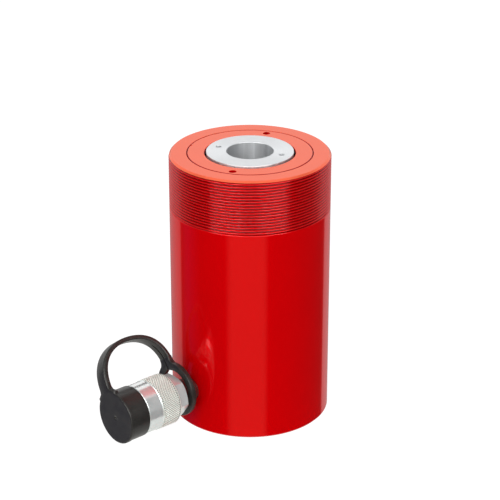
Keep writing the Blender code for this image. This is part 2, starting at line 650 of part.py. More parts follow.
def hexagon_blank(axis):
    """Hexagon with a round hole for the body's core, its corners turned to a chamfer on both faces."""
    shape = bmesh.new()
    rings = []
    for height in (HEX_BACK, HEX_FRONT):
        lift = Vector((0, 0, height))
        places = [polar(HEX_CORNER_RADIUS, HEX_TURN + 60 * side) + lift for side in range(6)]
        rings.append([shape.verts.new(place) for place in places])
    for side in range(6):
        after = (side + 1) % 6
        shape.faces.new((rings[0][side], rings[0][after], rings[1][after], rings[1][side]))
    shape.faces.new(rings[0])
    shape.faces.new(rings[1])
    blank = add_object("hexagon_blank", shape, parent=axis)
    core_radius = (CHAMBER_RADIUS + NECK_RADIUS) / 2
    reach = HEX_CORNER_RADIUS + SEAT_GAP
    slope = (HEX_CORNER_RADIUS - HEX_FLAT_RADIUS) * HEX_CHAMFER_SLOPE
    turning = [
        (core_radius, HEX_BACK - SEAT_GAP),
        (HEX_FLAT_RADIUS, HEX_BACK - SEAT_GAP),
        (reach, HEX_BACK + slope),
        (reach, HEX_FRONT - slope),
        (HEX_FLAT_RADIUS, HEX_FRONT + SEAT_GAP),
        (core_radius, HEX_FRONT + SEAT_GAP),
    ]
    tool = add_object("hexagon_turning", turned(turning, COUPLER_FACETS), parent=axis)
    use_tool(blank, tool, "INTERSECT")
    return blank


def build_coupler_body(axis):
    """Nipple, neck, hexagon and valve housing in one piece."""
    groove_radius = HOUSING_RADIUS - SNAP_RING_GROOVE_DEPTH
    seal_high = BODY_NOSE_FRONT - NOSE_SEAL_DEPTH
    seal_low = seal_high - NOSE_SEAL_SECTION - 2 * SEAT_GAP
    seal_radius = RECESS_RADIUS + NOSE_SEAL_SECTION / 2
    oilway = OILWAY_DIAMETER / 2
    corners = [
        (oilway, NIPPLE_END),
        (NIPPLE_RADIUS, NIPPLE_END, EDGE_CHAMFER),
        (NIPPLE_RADIUS, SEAT_GAP),
        (NECK_RADIUS, SEAT_GAP),
        (NECK_RADIUS, HEX_BACK + SEAT_GAP),
        (HOUSING_RADIUS, HEX_BACK + SEAT_GAP),
        (HOUSING_RADIUS, SNAP_RING_BACK - SEAT_GAP),
        (groove_radius, SNAP_RING_BACK - SEAT_GAP),
        (groove_radius, SNAP_RING_FRONT + SEAT_GAP),
        (HOUSING_RADIUS, SNAP_RING_FRONT + SEAT_GAP),
        (HOUSING_RADIUS, HOUSING_FRONT, EDGE_CHAMFER),
        (BODY_NOSE_RADIUS, HOUSING_FRONT),
        (BODY_NOSE_RADIUS, BODY_NOSE_FRONT, EDGE_CHAMFER),
        (RECESS_RADIUS, BODY_NOSE_FRONT, EDGE_CHAMFER),
        (RECESS_RADIUS, seal_high),
        (seal_radius, seal_high),
        (seal_radius, seal_low),
        (RECESS_RADIUS, seal_low),
        (RECESS_RADIUS, CHAMBER_FRONT),
        (CHAMBER_RADIUS, CHAMBER_FRONT),
        (CHAMBER_RADIUS, CHAMBER_FLOOR),
        (oilway, CHAMBER_FLOOR),
    ]
    body = add_object("coupler_body", turned(corners, COUPLER_FACETS), ZINC_PLATE, axis)
    use_tool(body, hexagon_blank(axis), "UNION")
    seal = round_ring(
        seal_radius - SEAT_GAP - NOSE_SEAL_SECTION / 2, NOSE_SEAL_SECTION,
        (seal_low + seal_high) / 2, COUPLER_FACETS,
    )
    add_object("coupler_nose_seal", seal, BLACK_RUBBER, axis)


def build_coupler_valve(axis):
    """Seat, poppet, spring and guide inside the coupler's body."""
    orifice = VALVE_ORIFICE_DIAMETER / 2
    seat_radius = RECESS_RADIUS - SEAT_GAP
    seat = [
        (orifice, VALVE_SEAT_FRONT),
        (orifice, VALVE_SEAT_BACK + VALVE_CONE_HEIGHT),
        (orifice + VALVE_CONE_HEIGHT, VALVE_SEAT_BACK),
        (seat_radius, VALVE_SEAT_BACK),
        (seat_radius, VALVE_SEAT_FRONT, FINE_CHAMFER),
    ]
    add_object("coupler_valve_seat", turned(seat, COUPLER_FACETS), BRIGHT_STEEL, axis)
    stem_radius = POPPET_STEM_DIAMETER / 2
    cone_front = POPPET_CONE_LINE - POPPET_NOSE_RADIUS
    poppet = [
        (0.0, GUIDE_BACK + SEAT_GAP),
        (stem_radius, GUIDE_BACK + SEAT_GAP, SEAT_GAP),
        (stem_radius, POPPET_FLANGE_BACK),
        (POPPET_RADIUS, POPPET_FLANGE_BACK),
        (POPPET_RADIUS, POPPET_CONE_LINE - POPPET_RADIUS),
        (POPPET_NOSE_RADIUS, cone_front),
        (POPPET_NOSE_RADIUS, cone_front + POPPET_NOSE_LENGTH, EDGE_CHAMFER),
        (0.0, cone_front + POPPET_NOSE_LENGTH),
    ]
    add_object("coupler_poppet", turned(poppet, SMALL_FACETS), BRIGHT_STEEL, axis)
    guide_hole = stem_radius + RUNNING_GAP
    guide_radius = CHAMBER_RADIUS - SEAT_GAP
    shape = ring_band(guide_hole, guide_radius, GUIDE_BACK, GUIDE_FRONT, COUPLER_FACETS)
    guide = add_object("coupler_valve_guide", shape, DARK_STEEL, axis)
    slots = [polar((guide_hole + guide_radius) / 2, 120 * slot) for slot in range(3)]
    below = GUIDE_BACK - SEAT_GAP
    drill(guide, "guide_slots", GUIDE_SLOT_DIAMETER, below, GUIDE_FRONT + SEAT_GAP, slots)
    spring_mean = (stem_radius + POPPET_RADIUS) / 2
    shape = coil(
        spring_mean, VALVE_SPRING_WIRE, VALVE_SPRING_BACK, VALVE_SPRING_FRONT, VALVE_SPRING_TURNS,
        SMALL_COIL_STEPS, SMALL_COIL_SIDES,
    )
    add_spring(
        "coupler_valve_spring", shape, spring_mean, VALVE_SPRING_WIRE,
        VALVE_SPRING_BACK, VALVE_SPRING_FRONT, axis,
    )


def build_coupler_sleeve(axis):
    """Union sleeve that turns on the body, and the open snap ring that keeps it there."""
    corners = [
        (SLEEVE_LIP_RADIUS, SLEEVE_BACK, EDGE_CHAMFER),
        (KNURL_RADIUS, SLEEVE_BACK, EDGE_CHAMFER),
        (KNURL_RADIUS, KNURL_FRONT, KNURL_STEP),
        (BAND_RADIUS, KNURL_FRONT),
        (BAND_RADIUS, BAND_FRONT, FINE_CHAMFER),
        (SLEEVE_NOSE_RADIUS, BAND_FRONT),
        (SLEEVE_NOSE_RADIUS, SLEEVE_FRONT, FINE_CHAMFER),
        (SLEEVE_BORE, SLEEVE_FRONT, FINE_CHAMFER),
        (SLEEVE_BORE, SLEEVE_LIP_FRONT),
        (SLEEVE_LIP_RADIUS, SLEEVE_LIP_FRONT),
    ]
    add_object("coupler_sleeve", turned(corners, COUPLER_FACETS), ZINC_PLATE, axis)
    inner = HOUSING_RADIUS - SNAP_RING_GROOVE_DEPTH + SEAT_GAP
    band = ring_band(inner, SNAP_RING_RADIUS, SNAP_RING_BACK, SNAP_RING_FRONT, COUPLER_FACETS)
    snap_ring = add_object("coupler_snap_ring", band, DARK_STEEL, axis)
    wedge = bmesh.new()
    reach = 2 * SNAP_RING_RADIUS
    half = SNAP_RING_OPENING / 2
    rings = []
    for height in (SNAP_RING_BACK - CUTTER_OVERRUN, SNAP_RING_FRONT + CUTTER_OVERRUN):
        lift = Vector((0, 0, height))
        places = (lift, polar(reach, 270 - half) + lift, polar(reach, 270 + half) + lift)
        rings.append([wedge.verts.new(place) for place in places])
    for side in range(3):
        after = (side + 1) % 3
        wedge.faces.new((rings[0][side], rings[0][after], rings[1][after], rings[1][side]))
    wedge.faces.new(rings[0])
    wedge.faces.new(rings[1])
    use_tool(snap_ring, add_object("snap_ring_opening", wedge, parent=axis))


def build_dust_cap(axis):
    """Soft cap pushed over the sleeve's nose, with a thin rim round its end disc."""
    dimple = CAP_DIMPLE_DIAMETER / 2
    corners = [
        (0.0, CAP_FLOOR),
        (CAP_BORE, CAP_FLOOR),
        (CAP_BORE, CAP_BACK),
        (CAP_SKIRT_RADIUS, CAP_BACK, FINE_CHAMFER),
        (CAP_SKIRT_RADIUS, CAP_FLOOR),
        (CAP_RIM_RADIUS, CAP_FLOOR),
        (CAP_RIM_RADIUS, CAP_FRONT, CAP_RIM_ROUND, 3),
        (dimple, CAP_FRONT, CAP_DIMPLE_DEPTH),
        (0.0, CAP_FRONT - CAP_DIMPLE_DEPTH),
    ]
    add_object("dust_cap", turned(corners, COUPLER_FACETS), BLACK_RUBBER, axis)


def build_cap_ring(axis):
    """Ring of the dust cap's strap, lying slack round the neck."""
    inner = NECK_RADIUS + SEAT_GAP + RING_SLACK
    outer = inner + RING_CORD_WIDTH
    high = RING_BACK + RING_CORD_THICKNESS
    edge = RING_CORD_THICKNESS / 4
    corners = [(inner, RING_BACK, edge), (outer, RING_BACK, edge), (outer, high, edge), (inner, high, edge)]
    ring = add_object("dust_cap_ring", turned(corners, COUPLER_FACETS), BLACK_RUBBER, axis)
    ring.location = polar(RING_SLACK, RING_LEAN)


def bezier(ends, share):
    """The point and direction at this share of a cubic Bezier curve."""
    rest = 1 - share
    start, first, second, end = (Vector(point) for point in ends)
    point = (
        start * rest**3 + first * 3 * rest**2 * share + second * 3 * rest * share**2 + end * share**3
    )
    direction = (
        (first - start) * rest**2 + (second - first) * 2 * rest * share + (end - second) * share**2
    )
    return point, direction.normalized()


def strap_halves():
    """The two Bezier curves of the strap's middle line, as (station, radius) in its own plane."""
    lean = RING_SLACK * math.cos(math.radians(STRAP_ANGLE - RING_LEAN))
    ring_edge = NECK_RADIUS + SEAT_GAP + RING_SLACK + RING_CORD_WIDTH + lean
    start = Vector((CAP_FRONT - CAP_DISC_THICKNESS / 2, CAP_RIM_RADIUS + SEAT_GAP))
    end = Vector((RING_BACK + RING_CORD_THICKNESS / 2, ring_edge + SEAT_GAP))
    crest = Vector(((start.x + end.x) / 2, start.y + STRAP_HEIGHT))
    shoulder = Vector(((start.x - end.x) * STRAP_SHOULDER, 0))
    cap_rise = Vector((0, STRAP_HEIGHT * STRAP_CAP_RISE))
    ring_rise = Vector((shoulder.x / 10, STRAP_HEIGHT * STRAP_RING_RISE))
    return (
        (start, start + cap_rise, crest + shoulder, crest),
        (crest, crest - shoulder, end + ring_rise, end),
    )


def strap_section(share):
    """The strap's section with cut corners, at this share of its way from the cap to the ring."""
    half_width = (STRAP_CAP_END_WIDTH + (STRAP_RING_END_WIDTH - STRAP_CAP_END_WIDTH) * share) / 2
    half_height = STRAP_THICKNESS / 2
    cut = STRAP_THICKNESS / 5
    return [
        (half_width, half_height - cut), (half_width - cut, half_height),
        (cut - half_width, half_height), (-half_width, half_height - cut),
        (-half_width, cut - half_height), (cut - half_width, -half_height),
        (half_width - cut, -half_height), (half_width, cut - half_height),
    ]


def build_cap_strap(axis):
    """Flat strap in one loop from the cap's rim back to the ring, in a plane through the axis."""
    out = polar(1.0, STRAP_ANGLE)
    across = polar(1.0, STRAP_ANGLE + 90)
    halves = strap_halves()
    frames = []
    for step in range(STRAP_STEPS + 1):
        place = 2 * step / STRAP_STEPS
        point, direction = bezier(halves[min(int(place), 1)], place - min(int(place), 1))
        center = out * point.y + Vector((0, 0, point.x))
        normal = out * direction.x - Vector((0, 0, direction.y))
        frames.append((center, across, normal))
    shape = swept(frames, lambda index: strap_section(index / STRAP_STEPS))
    add_object("dust_cap_strap", shape, BLACK_RUBBER, axis)


def main():
    """Builds the whole cylinder in an emptied scene."""
    for item in list(bpy.data.objects):
        bpy.data.objects.remove(item)
    cylinder = add_axis("cylinder_axis")
    plunger = add_axis("plunger_axis", cylinder)
    outward = Matrix.Translation((0, -BARREL_RADIUS, PORT_HEIGHT)) @ Matrix.Rotation(math.pi / 2, 4, "X")
    coupler = add_axis("coupler_axis", cylinder, outward)
    build_barrel(cylinder, coupler)
    build_center_tube(cylinder)
    build_stop_ring(cylinder)
    build_return_spring(cylinder)
    build_plunger(plunger)
    build_piston_seals(plunger)
    build_saddle(plunger)
    build_coupler_body(coupler)
    build_coupler_valve(coupler)
    build_coupler_sleeve(coupler)
    build_dust_cap(coupler)
    build_cap_ring(coupler)
    build_cap_strap(coupler)


main()
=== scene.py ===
"""Looks of a hollow plunger hydraulic cylinder, laid out as an add-on and run as a script.

Sizes are in metres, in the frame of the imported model: the cylinder stands on z = 0 with its axis
on Z, and its coupler points along -Y. A piece of the coupler is modelled upright, with the
coupler's axis on Z and the barrel's side at z = 0, and is then turned into its place.
"""
import json
import math

import bmesh
import bpy
from mathutils import Matrix, Vector


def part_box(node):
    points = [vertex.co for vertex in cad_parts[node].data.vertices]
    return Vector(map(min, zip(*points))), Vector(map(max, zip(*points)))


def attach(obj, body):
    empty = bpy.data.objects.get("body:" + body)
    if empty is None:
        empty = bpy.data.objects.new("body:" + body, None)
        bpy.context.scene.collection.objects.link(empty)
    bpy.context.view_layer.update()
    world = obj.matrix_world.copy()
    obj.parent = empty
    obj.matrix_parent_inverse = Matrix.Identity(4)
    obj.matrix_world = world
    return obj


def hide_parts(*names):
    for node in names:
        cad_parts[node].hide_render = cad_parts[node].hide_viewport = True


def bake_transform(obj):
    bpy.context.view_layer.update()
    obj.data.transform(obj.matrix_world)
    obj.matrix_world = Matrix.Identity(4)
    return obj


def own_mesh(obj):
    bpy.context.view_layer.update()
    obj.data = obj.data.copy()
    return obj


bl_info = {
    "name": "Hollow Plunger Cylinder",
    "version": (1, 0, 0),
    "blender": (4, 5, 0),
    "location": "View3D > Sidebar > Cylinder",
    "description": "Finishes and fine shapes of a hollow plunger hydraulic cylinder",
    "category": "Object",
}

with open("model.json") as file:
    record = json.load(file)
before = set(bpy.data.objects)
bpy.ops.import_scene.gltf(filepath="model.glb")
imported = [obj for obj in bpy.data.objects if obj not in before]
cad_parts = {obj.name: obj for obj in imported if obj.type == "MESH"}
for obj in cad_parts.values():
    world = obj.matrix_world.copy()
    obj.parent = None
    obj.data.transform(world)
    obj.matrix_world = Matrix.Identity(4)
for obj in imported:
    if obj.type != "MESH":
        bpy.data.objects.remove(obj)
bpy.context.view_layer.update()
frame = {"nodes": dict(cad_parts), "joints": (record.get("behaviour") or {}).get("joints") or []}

# Two points this near are one point, and a cutter runs this far past the face it opens
TOUCH = 0.000002
OVERRUN = 0.002
# A corner of an outline that turns by less than this angle gets no round
NEARLY_STRAIGHT = 0.05
# A round takes up to this share of a side at its corner, and beside a side longer than this many
# rounds it has one more point, this many times as far from the corner as the round reaches
ROUND_SHARE = 0.4
LONG_SIDE = 6
KEEPER_REACH = 1.8
# The pitch of a spring's closed end turns, in diameters of its wire
CLOSED_PITCH = 1.04

# How far the stretches of the cap's moulding run into one another, how far from the ring the
# moulding starts to bend, and how far the slit's blade reaches past the ring's faces
MOULD_OVERLAP = 0.001
SLIT_REACH = 0.008
# An edge of the flat ring that turns by more than this angle is on its rim
RIM_ANGLE = math.radians(60)

# Columns round a piece, and round the outside and the hole of the flat ring
BARREL_STEPS = 160
PLUNGER_STEPS = 128
COUPLER_STEPS = 104
SMALL_STEPS = 48
GATE_STEPS = 16
RING_STEPS = 72
RING_HOLE_STEPS = 64
# Columns round a spring's wire, and along one turn of the return spring and the valve spring
WIRE_STEPS = 12
SPRING_STEPS = 48
VALVE_SPRING_STEPS = 24
# Points along one pitch of the collar's thread, along each half of the strap, round a corner
# between strap and ring, and round a corner of the strap's section
THREAD_STEPS = 12
STRAP_STEPS = 28
CORNER_STEPS = 8
SECTION_STEPS = 3

# Where the turned outlines are read from the solids, clear of every cross hole
OUTLINE_ANGLE = 60.0

BARREL_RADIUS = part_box("cylinder_barrel")[1].x
BARREL_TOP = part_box("cylinder_barrel")[1].z
SADDLE_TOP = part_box("saddle")[1].z
# The seam round the stop ring: how far its painted shade reaches and how deep a groove it counts as
SEAM_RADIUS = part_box("stop_ring")[1].x
SEAM_REACH = 0.0006
SEAM_SHADE = 0.5
COUPLER_JOINT = next(joint for joint in frame["joints"] if joint["name"] == "coupler_sleeve_turn")
COUPLER = Matrix.Translation(COUPLER_JOINT["pos_m"]) @ Matrix.Rotation(math.pi / 2, 4, "X")


def linear(text):
    """The linear colour of an sRGB hex value."""
    channels = [int(text[place:place + 2], 16) / 255 for place in (0, 2, 4)]
    return tuple(c / 12.92 if c <= 0.04045 else ((c + 0.055) / 1.055) ** 2.4 for c in channels)


def length(name, default, description):
    """A size of a piece, in metres."""
    return bpy.props.FloatProperty(
        name=name, default=default, description=description, unit="LENGTH", precision=5
    )


def share_of(name, default, description):
    """A share of a length, from 0 to 1."""
    return bpy.props.FloatProperty(
        name=name, default=default, description=description, min=0, max=1, subtype="FACTOR"
    )


def angle_of(name, degrees, description):
    """An angle, given in degrees and kept in radians."""
    return bpy.props.FloatProperty(
        name=name, default=math.radians(degrees), description=description, subtype="ANGLE"
    )


def number_of(name, default, least, description):
    """A whole number, no less than the least."""
    return bpy.props.IntProperty(name=name, default=default, description=description, min=least)


def colour(name, default, description):
    """A colour, given as an sRGB hex value."""
    return bpy.props.FloatVectorProperty(
        name=name, default=linear(default), description=description, subtype="COLOR", min=0, max=1
    )


class CylinderSizes(bpy.types.PropertyGroup):
    """Sizes of the barrel, the stop ring, the saddle and the return spring."""

    edge_round: length("Edge Round", 0.00012, "Round on every broken edge")
    thread_length: length("Thread Length", 0.0402, "Length of the collar thread")
    thread_pitch: length("Thread Pitch", 0.0254 / 12, "Pitch of the collar thread, 12 to the inch")
    thread_depth: length("Thread Depth", 0.00105, "Depth of the collar thread under its paint")
    mounting_hole: length("Mounting Hole", 0.008, "Diameter of the holes in the base")
    mounting_hole_depth: length("Mounting Hole Depth", 0.014, "Depth of the holes in the base")
    mounting_hole_inset: length("Mounting Hole Inset", 0.01105, "From the barrel's side")
    port: length("Port", 0.0178, "Diameter of the oil port's thread")
    port_depth: length("Port Depth", 0.0123, "Depth of the oil port's thread")
    oilway: length("Oilway", 0.006, "Diameter of the passage behind the port")
    oilway_depth: length("Oilway Depth", 0.0162, "From the barrel's side to the oilway's end")
    ring_pin_hole: length("Ring Pin Hole", 0.0052, "Diameter of the stop ring's spanner holes")
    ring_pin_depth: length("Ring Pin Depth", 0.008, "Depth of the stop ring's spanner holes")
    ring_pin_inset: length("Ring Pin Inset", 0.0047, "From the stop ring's edge")
    ring_pin_angle: angle_of("Ring Pin Angle", 121.3, "Where the first of the stop ring's holes is")
    ring_stake: length("Ring Stake", 0.0016, "Size of the punch mark that locks the stop ring")
    ring_stake_angle: angle_of("Ring Stake Angle", 211.8, "Where the punch mark is")
    saddle_chamfer: length("Saddle Chamfer", 0.0003, "Width of the broken edges of its top face")
    saddle_pin_hole: length("Saddle Pin Hole", 0.0038, "Diameter of the saddle's spanner holes")
    saddle_pin_chamfer: length("Saddle Pin Chamfer", 0.0004, "Width of the holes' broken mouths")
    saddle_pin_depth: length("Saddle Pin Depth", 0.006, "Depth of the saddle's spanner holes")
    saddle_pin_inset: length("Saddle Pin Inset", 0.0074, "From the saddle's edge")
    saddle_pin_angle: angle_of("Saddle Pin Angle", 28.8, "Where the first of the saddle's holes is")
    spring_wire: length("Spring Wire", 0.0065, "Diameter of the return spring's wire")
    spring_turns: number_of("Spring Turns", 6, 3, "Turns of the return spring, ends included")


class CouplerSizes(bpy.types.PropertyGroup):
    """Sizes of the coupler's body, sleeve and valve spring, counted from the barrel's side."""

    nipple_start: length("Nipple Start", -0.0112, "Where the nipple ends, inside the oil port")
    nipple_thread: length("Nipple Thread", 0.0142, "How far the nipple's thread stands out")
    nipple_pitch: length("Nipple Pitch", 0.0254 / 18, "Pitch of its thread, 18 to the inch")
    hex_back: length("Hexagon Back", 0.0134, "Where the hexagon starts")
    hex_front: length("Hexagon Front", 0.0219, "Where the hexagon ends")
    hex_flats: length("Hexagon Flats", 0.0277, "Size over the hexagon's flats")
    hex_edge: length("Hexagon Edge", 0.0002, "Bevel on the hexagon's edges")
    hex_root: length("Hexagon Root", 0.003, "How deep the hexagon starts inside the housing")
    hex_chamfer: share_of("Hexagon Chamfer", 0.6, "Rise of the corners' chamfer over its reach")
    hex_turn: angle_of("Hexagon Turn", -5.3, "How far from level the hexagon was tightened")
    knurl_start: length("Knurl Start", 0.0237, "Where the knurl starts")
    knurl_end: length("Knurl End", 0.0381, "Where the knurl ends")
    knurl_depth: length("Knurl Depth", 0.0004, "Depth of the knurl")
    knurl_slope: share_of("Knurl Slope", 0.15, "Width of a diamond's slopes, by a cell's length")
    knurl_rise: share_of("Knurl Rise", 0.95, "Height of the diamonds, by the knurl's depth")
    knurl_rows: number_of("Knurl Rows", 8, 1, "Rows of diamonds along the sleeve")
    knurl_columns: number_of("Knurl Columns", 66, 12, "Columns of diamonds round the sleeve")
    knurl_back_edge: length("Knurl Back Edge", 0.0012, "Edge behind the knurl with its finish")
    knurl_front_edge: length("Knurl Front Edge", 0.0005, "Edge before the knurl with its finish")
    valve_wire: length("Valve Wire", 0.0011, "Diameter of the valve spring's wire")
    valve_turns: number_of("Valve Turns", 5, 3, "Turns of the valve spring, ends included")


class CapSizes(bpy.types.PropertyGroup):
    """Sizes of the soft dust cap, its strap and the ring round the coupler's neck."""

    ring_back: length("Ring Back", 0.0075, "From the barrel's side to the ring")
    ring_inner: length("Ring Inner", 0.0142, "Inner radius of the ring")
    ring_width: length("Ring Width", 0.0055, "Width of the ring's cord")
    ring_thickness: length("Ring Thickness", 0.0035, "Thickness of the ring's cord")
    ring_round: length("Ring Round", 0.0004, "Round on the edges of the ring's cord")
    ring_slack: length("Ring Slack", 0.0036, "How far the slack ring hangs off the neck's axis")
    ring_lean: angle_of("Ring Lean", 155, "Which way the slack ring hangs off the neck's axis")
    ring_apex: length("Ring Apex", 0.0154, "From the ring's middle to where its strands meet")
    ring_neck: length("Ring Neck", 0.0035, "From the ring's outer edge to where the strap bends")
    strap_angle: angle_of("Strap Angle", 127, "Where the strap stands round the coupler")
    strap_cap_width: length("Strap Cap Width", 0.0118, "Width of the strap at the cap")
    strap_crest_width: length("Strap Crest Width", 0.0098, "Width of the strap at its crest")
    strap_ring_width: length("Strap Ring Width", 0.0115, "Width of the strap at the ring")
    strap_thickness: length("Strap Thickness", 0.0032, "Thickness of the strap from crest to ring")
    strap_root: length("Strap Root", 0.0008, "How much thicker the strap is at the cap")
    strap_height: length("Strap Height", 0.0295, "How far the loop stands off the cap's rim")
    strap_seat: length("Strap Seat", 0.004, "How deep the strap starts inside the cap's rim")
    strap_setback: length("Strap Setback", 0.0001, "From the cap's face back to the strap")
    strap_straight: length("Strap Straight", 0.0003, "How far past the rim the strap is straight")
    cap_bow: share_of("Cap Bow", 0.63, "How far the loop bows out over the cap, by its height")
    crest_bow: share_of("Crest Bow", 0.3, "How flat the loop's crest is, by its length")
    ring_bow: share_of("Ring Bow", 0.47, "How far the loop bows out over the ring, by its height")
    gate: length("Gate", 0.0014, "Diameter of the moulding mark in the cap's face")
    gate_depth: length("Gate Depth", 0.0021, "Depth of the moulding mark")
    flare: length("Flare", 0.005, "Radius in the corners between the strap and the cap")
    flare_drop: length("Flare Drop", 0.0017, "How far inside the cap's rim the corners start")
    slit_length: length("Slit Length", 0.019, "Length of the slit that parts the strap's strands")
    slit_width: length("Slit Width", 0.0012, "Width of the slit that parts the strap's strands")


class Finishes(bpy.types.PropertyGroup):
    """Colours of the finishes."""

    enamel: colour("Enamel", "DE0006", "Red enamel of the barrel and the stop ring")
    # Enamel Top is the enamel painted lighter and warmer on level faces: a painted highlight of the
    # light from above
    enamel_lit_top: colour("Enamel Top", "FF6C48", "Enamel where it lies level and thick")
    saddle: colour("Saddle", "DADCDE", "Turned steel of the saddle")
    steel: colour("Steel", "C8C8CC", "Ground steel of the plunger and the tube")
    zinc: colour("Zinc", "E6EDEC", "Bright zinc plate of the coupler")
    # The knurl's colour, brighter than the zinc's, is a painted highlight of the light its facets
    # scatter
    knurl: colour("Knurl", "F8FFF6", "Zinc plate on the fine facets of the knurl")
    rubber: colour("Rubber", "2D2C2A", "Soft black rubber of the dust cap")
    # The sealant's dark red is also painted shade on the neck round the ring
    sealant_and_shade: colour("Sealant", "5E0F0C", "Dark red sealant on the nipple's thread")
    nitrile: colour("Nitrile", "1C1C1E", "Black nitrile of the wiper and static seals")
    polyurethane: colour("Polyurethane", "B07A2A", "Amber polyurethane of the piston's seals")
    fluoropolymer: colour("Fluoropolymer", "E4E3DC", "White plastic of the back-up rings")
    bronze: colour("Bronze", "A87A3C", "Bronze of the bearing rings")
    spring_steel: colour("Spring Steel", "4A4A4E", "Phosphated steel of the springs")
    dark_steel: colour("Dark Steel", "55565A", "Blackened steel of the snap ring and valve guide")


def add_object(name, shape):
    """An object of the bmesh, which is used up."""
    mesh = bpy.data.meshes.new(name)
    shape.to_mesh(mesh)
    shape.free()
    item = bpy.data.objects.new(name, mesh)
    bpy.context.scene.collection.objects.link(item)
    return item


def carve(item, tool, operation="DIFFERENCE"):
    """Applies a Boolean with the tool, which is then removed."""
    modifier = item.modifiers.new("carve", "BOOLEAN")
    modifier.operation = operation
    modifier.solver = "EXACT"
    modifier.object = tool
    bpy.context.view_layer.update()
    graph = bpy.context.evaluated_depsgraph_get()
    mesh = bpy.data.meshes.new_from_object(item.evaluated_get(graph))
    item.modifiers.clear()
    item.data = mesh
    bpy.data.objects.remove(tool)


def shade(item, material, sharp=30.0):
    """Gives a finished piece its material, and smooth shading but over edges this sharp."""
    item.data.materials.clear()
    item.data.materials.append(material)
    item.data.shade_smooth()
    item.data.set_sharp_from_angle(angle=math.radians(sharp))


def dress(item, material, body, node):
    """Gives a finished piece its material and body, and hides the solid it stands for."""
    shade(item, material)
    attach(item, body)
    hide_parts(node)


def outline_of(node, axis=Matrix.Identity(4), angle=OUTLINE_ANGLE):
    """The (radius, height) outline of a turned solid, where two of its facets meet.

    It comes as a list of points and True if the outline is closed, False if flat ends or a
    prism leave it open.
    """
    shape = bmesh.new()
    shape.from_mesh(frame["nodes"][node].data)
    turn = axis @ Matrix.Rotation(math.radians(angle), 4, "Z")
    bmesh.ops.transform(shape, matrix=turn.inverted(), verts=shape.verts)
    bmesh.ops.remove_doubles(shape, verts=shape.verts, dist=TOUCH)
    neighbours = {}
    for edge in shape.edges:
        if all(abs(vert.co.y) < TOUCH and vert.co.x > -TOUCH for vert in edge.verts):
            start, end = edge.verts
            neighbours.setdefault(start, []).append(end)
            neighbours.setdefault(end, []).append(start)
    ends = [vert for vert, near in neighbours.items() if len(near) == 1]
    closed = not ends
    chain = [ends[0] if ends else min(neighbours, key=lambda vert: (vert.co.z, vert.co.x))]
    while True:
        ahead = [vert for vert in neighbours[chain[-1]] if vert not in chain]
        if not ahead:
            break
        chain.append(ahead[0])
    points = [Vector((max(vert.co.x, 0.0), vert.co.z)) for vert in chain]
    shape.free()
    return points, closed or abs(points[0].y - points[-1].y) < TOUCH


def sharpened(points, top, width):
    """The outline with the chamfers on both edges of its top face cut down to this width."""
    level = [point for point in points if point.y > top - TOUCH]
    outline = []
    for index, point in enumerate(points):
        near = [other for other in (points[index - 1], points[(index + 1) % len(points)])
                if (point in level) != (other in level)]
        if near:
            upper, lower = (point, near[0]) if point in level else (near[0], point)
            corner = Vector((lower.x, upper.y))
            point = corner + (point - corner).normalized() * width
        outline.append(point)
    return outline


def rounded(points, closed, size, steps=2):
    """The outline with small rounds, each held to a share of its shorter side.

    A round beside a long side gets one more point close by, which keeps its shading off that side.
    """
    outline = []
    for index, point in enumerate(points):
        if not closed and index in (0, len(points) - 1):
            outline.append(point)
            continue
        back = points[index - 1] - point
        ahead = points[(index + 1) % len(points)] - point
        short = min(back.length, ahead.length) < TOUCH
        if short or abs(back.angle(ahead) - math.pi) < NEARLY_STRAIGHT:
            outline.append(point)
            continue
        reach = min(size, back.length * ROUND_SHARE, ahead.length * ROUND_SHARE)
        if back.length > LONG_SIDE * size:
            outline.append(point + back.normalized() * reach * KEEPER_REACH)
        for step in range(steps + 1):
            share = step / steps
            start = back.normalized() * reach * (1 - share) ** 2
            outline.append(point + start + ahead.normalized() * reach * share**2)
        if ahead.length > LONG_SIDE * size:
            outline.append(point + ahead.normalized() * reach * KEEPER_REACH)
    return outline


def turned(points, closed, steps):
    """A bmesh of the outline turned about Z."""
    shape = bmesh.new()
    verts = [shape.verts.new((point.x, 0.0, point.y)) for point in points]
    edges = [shape.edges.new(pair) for pair in zip(verts, verts[1:])]
    if closed:
        edges.append(shape.edges.new((verts[-1], verts[0])))
    bmesh.ops.spin(
        shape, geom=verts + edges, axis=(0, 0, 1), cent=(0, 0, 0), dvec=(0, 0, 0),
        angle=math.tau, steps=steps, use_merge=True, use_duplicate=False,
    )
    bmesh.ops.remove_doubles(shape, verts=shape.verts, dist=TOUCH)
    bmesh.ops.recalc_face_normals(shape, faces=shape.faces)
    return shape


def turned_copy(node, steps, axis=Matrix.Identity(4), angle=OUTLINE_ANGLE, edge_scale=1):
    """A fine bmesh of a turned solid, standing on its own axis."""
    edge = bpy.context.scene.cylinder_sizes.edge_round * edge_scale
    points, closed = outline_of(node, axis, angle)
    if not closed:
        first, last = Vector((0.0, points[0].y)), Vector((0.0, points[-1].y))
        points = [first] + points + [last]
    return turned(rounded(points, closed, edge), closed, steps)


def bit(diameter, depth, countersink, steps=SMALL_STEPS):
    """A bmesh of a drill bit about Z that leaves a hole below z = 0 with a broken mouth."""
    radius = diameter / 2
    flat = [(0.0, -depth), (radius, -depth), (radius, -countersink)]
    flat += [(radius + countersink + OVERRUN, OVERRUN), (0.0, OVERRUN)]
    return turned([Vector(point) for point in flat], False, steps)


def drill(item, diameter, depth, radius, angle, top, facing=1.0, countersink=0.0002, count=2):
    """Round holes in a flat face at height top, facing up or down: one, or two opposite ones."""
    for turn in (angle, angle + math.pi)[:count]:
        shape = bit(diameter, depth, countersink)
        place = Matrix.Translation((radius * math.cos(turn), radius * math.sin(turn), top))
        flip = Matrix.Rotation(0.0 if facing > 0 else math.pi, 4, "X")
        bmesh.ops.transform(shape, matrix=place @ flip, verts=shape.verts)
        carve(item, add_object("hole", shape))


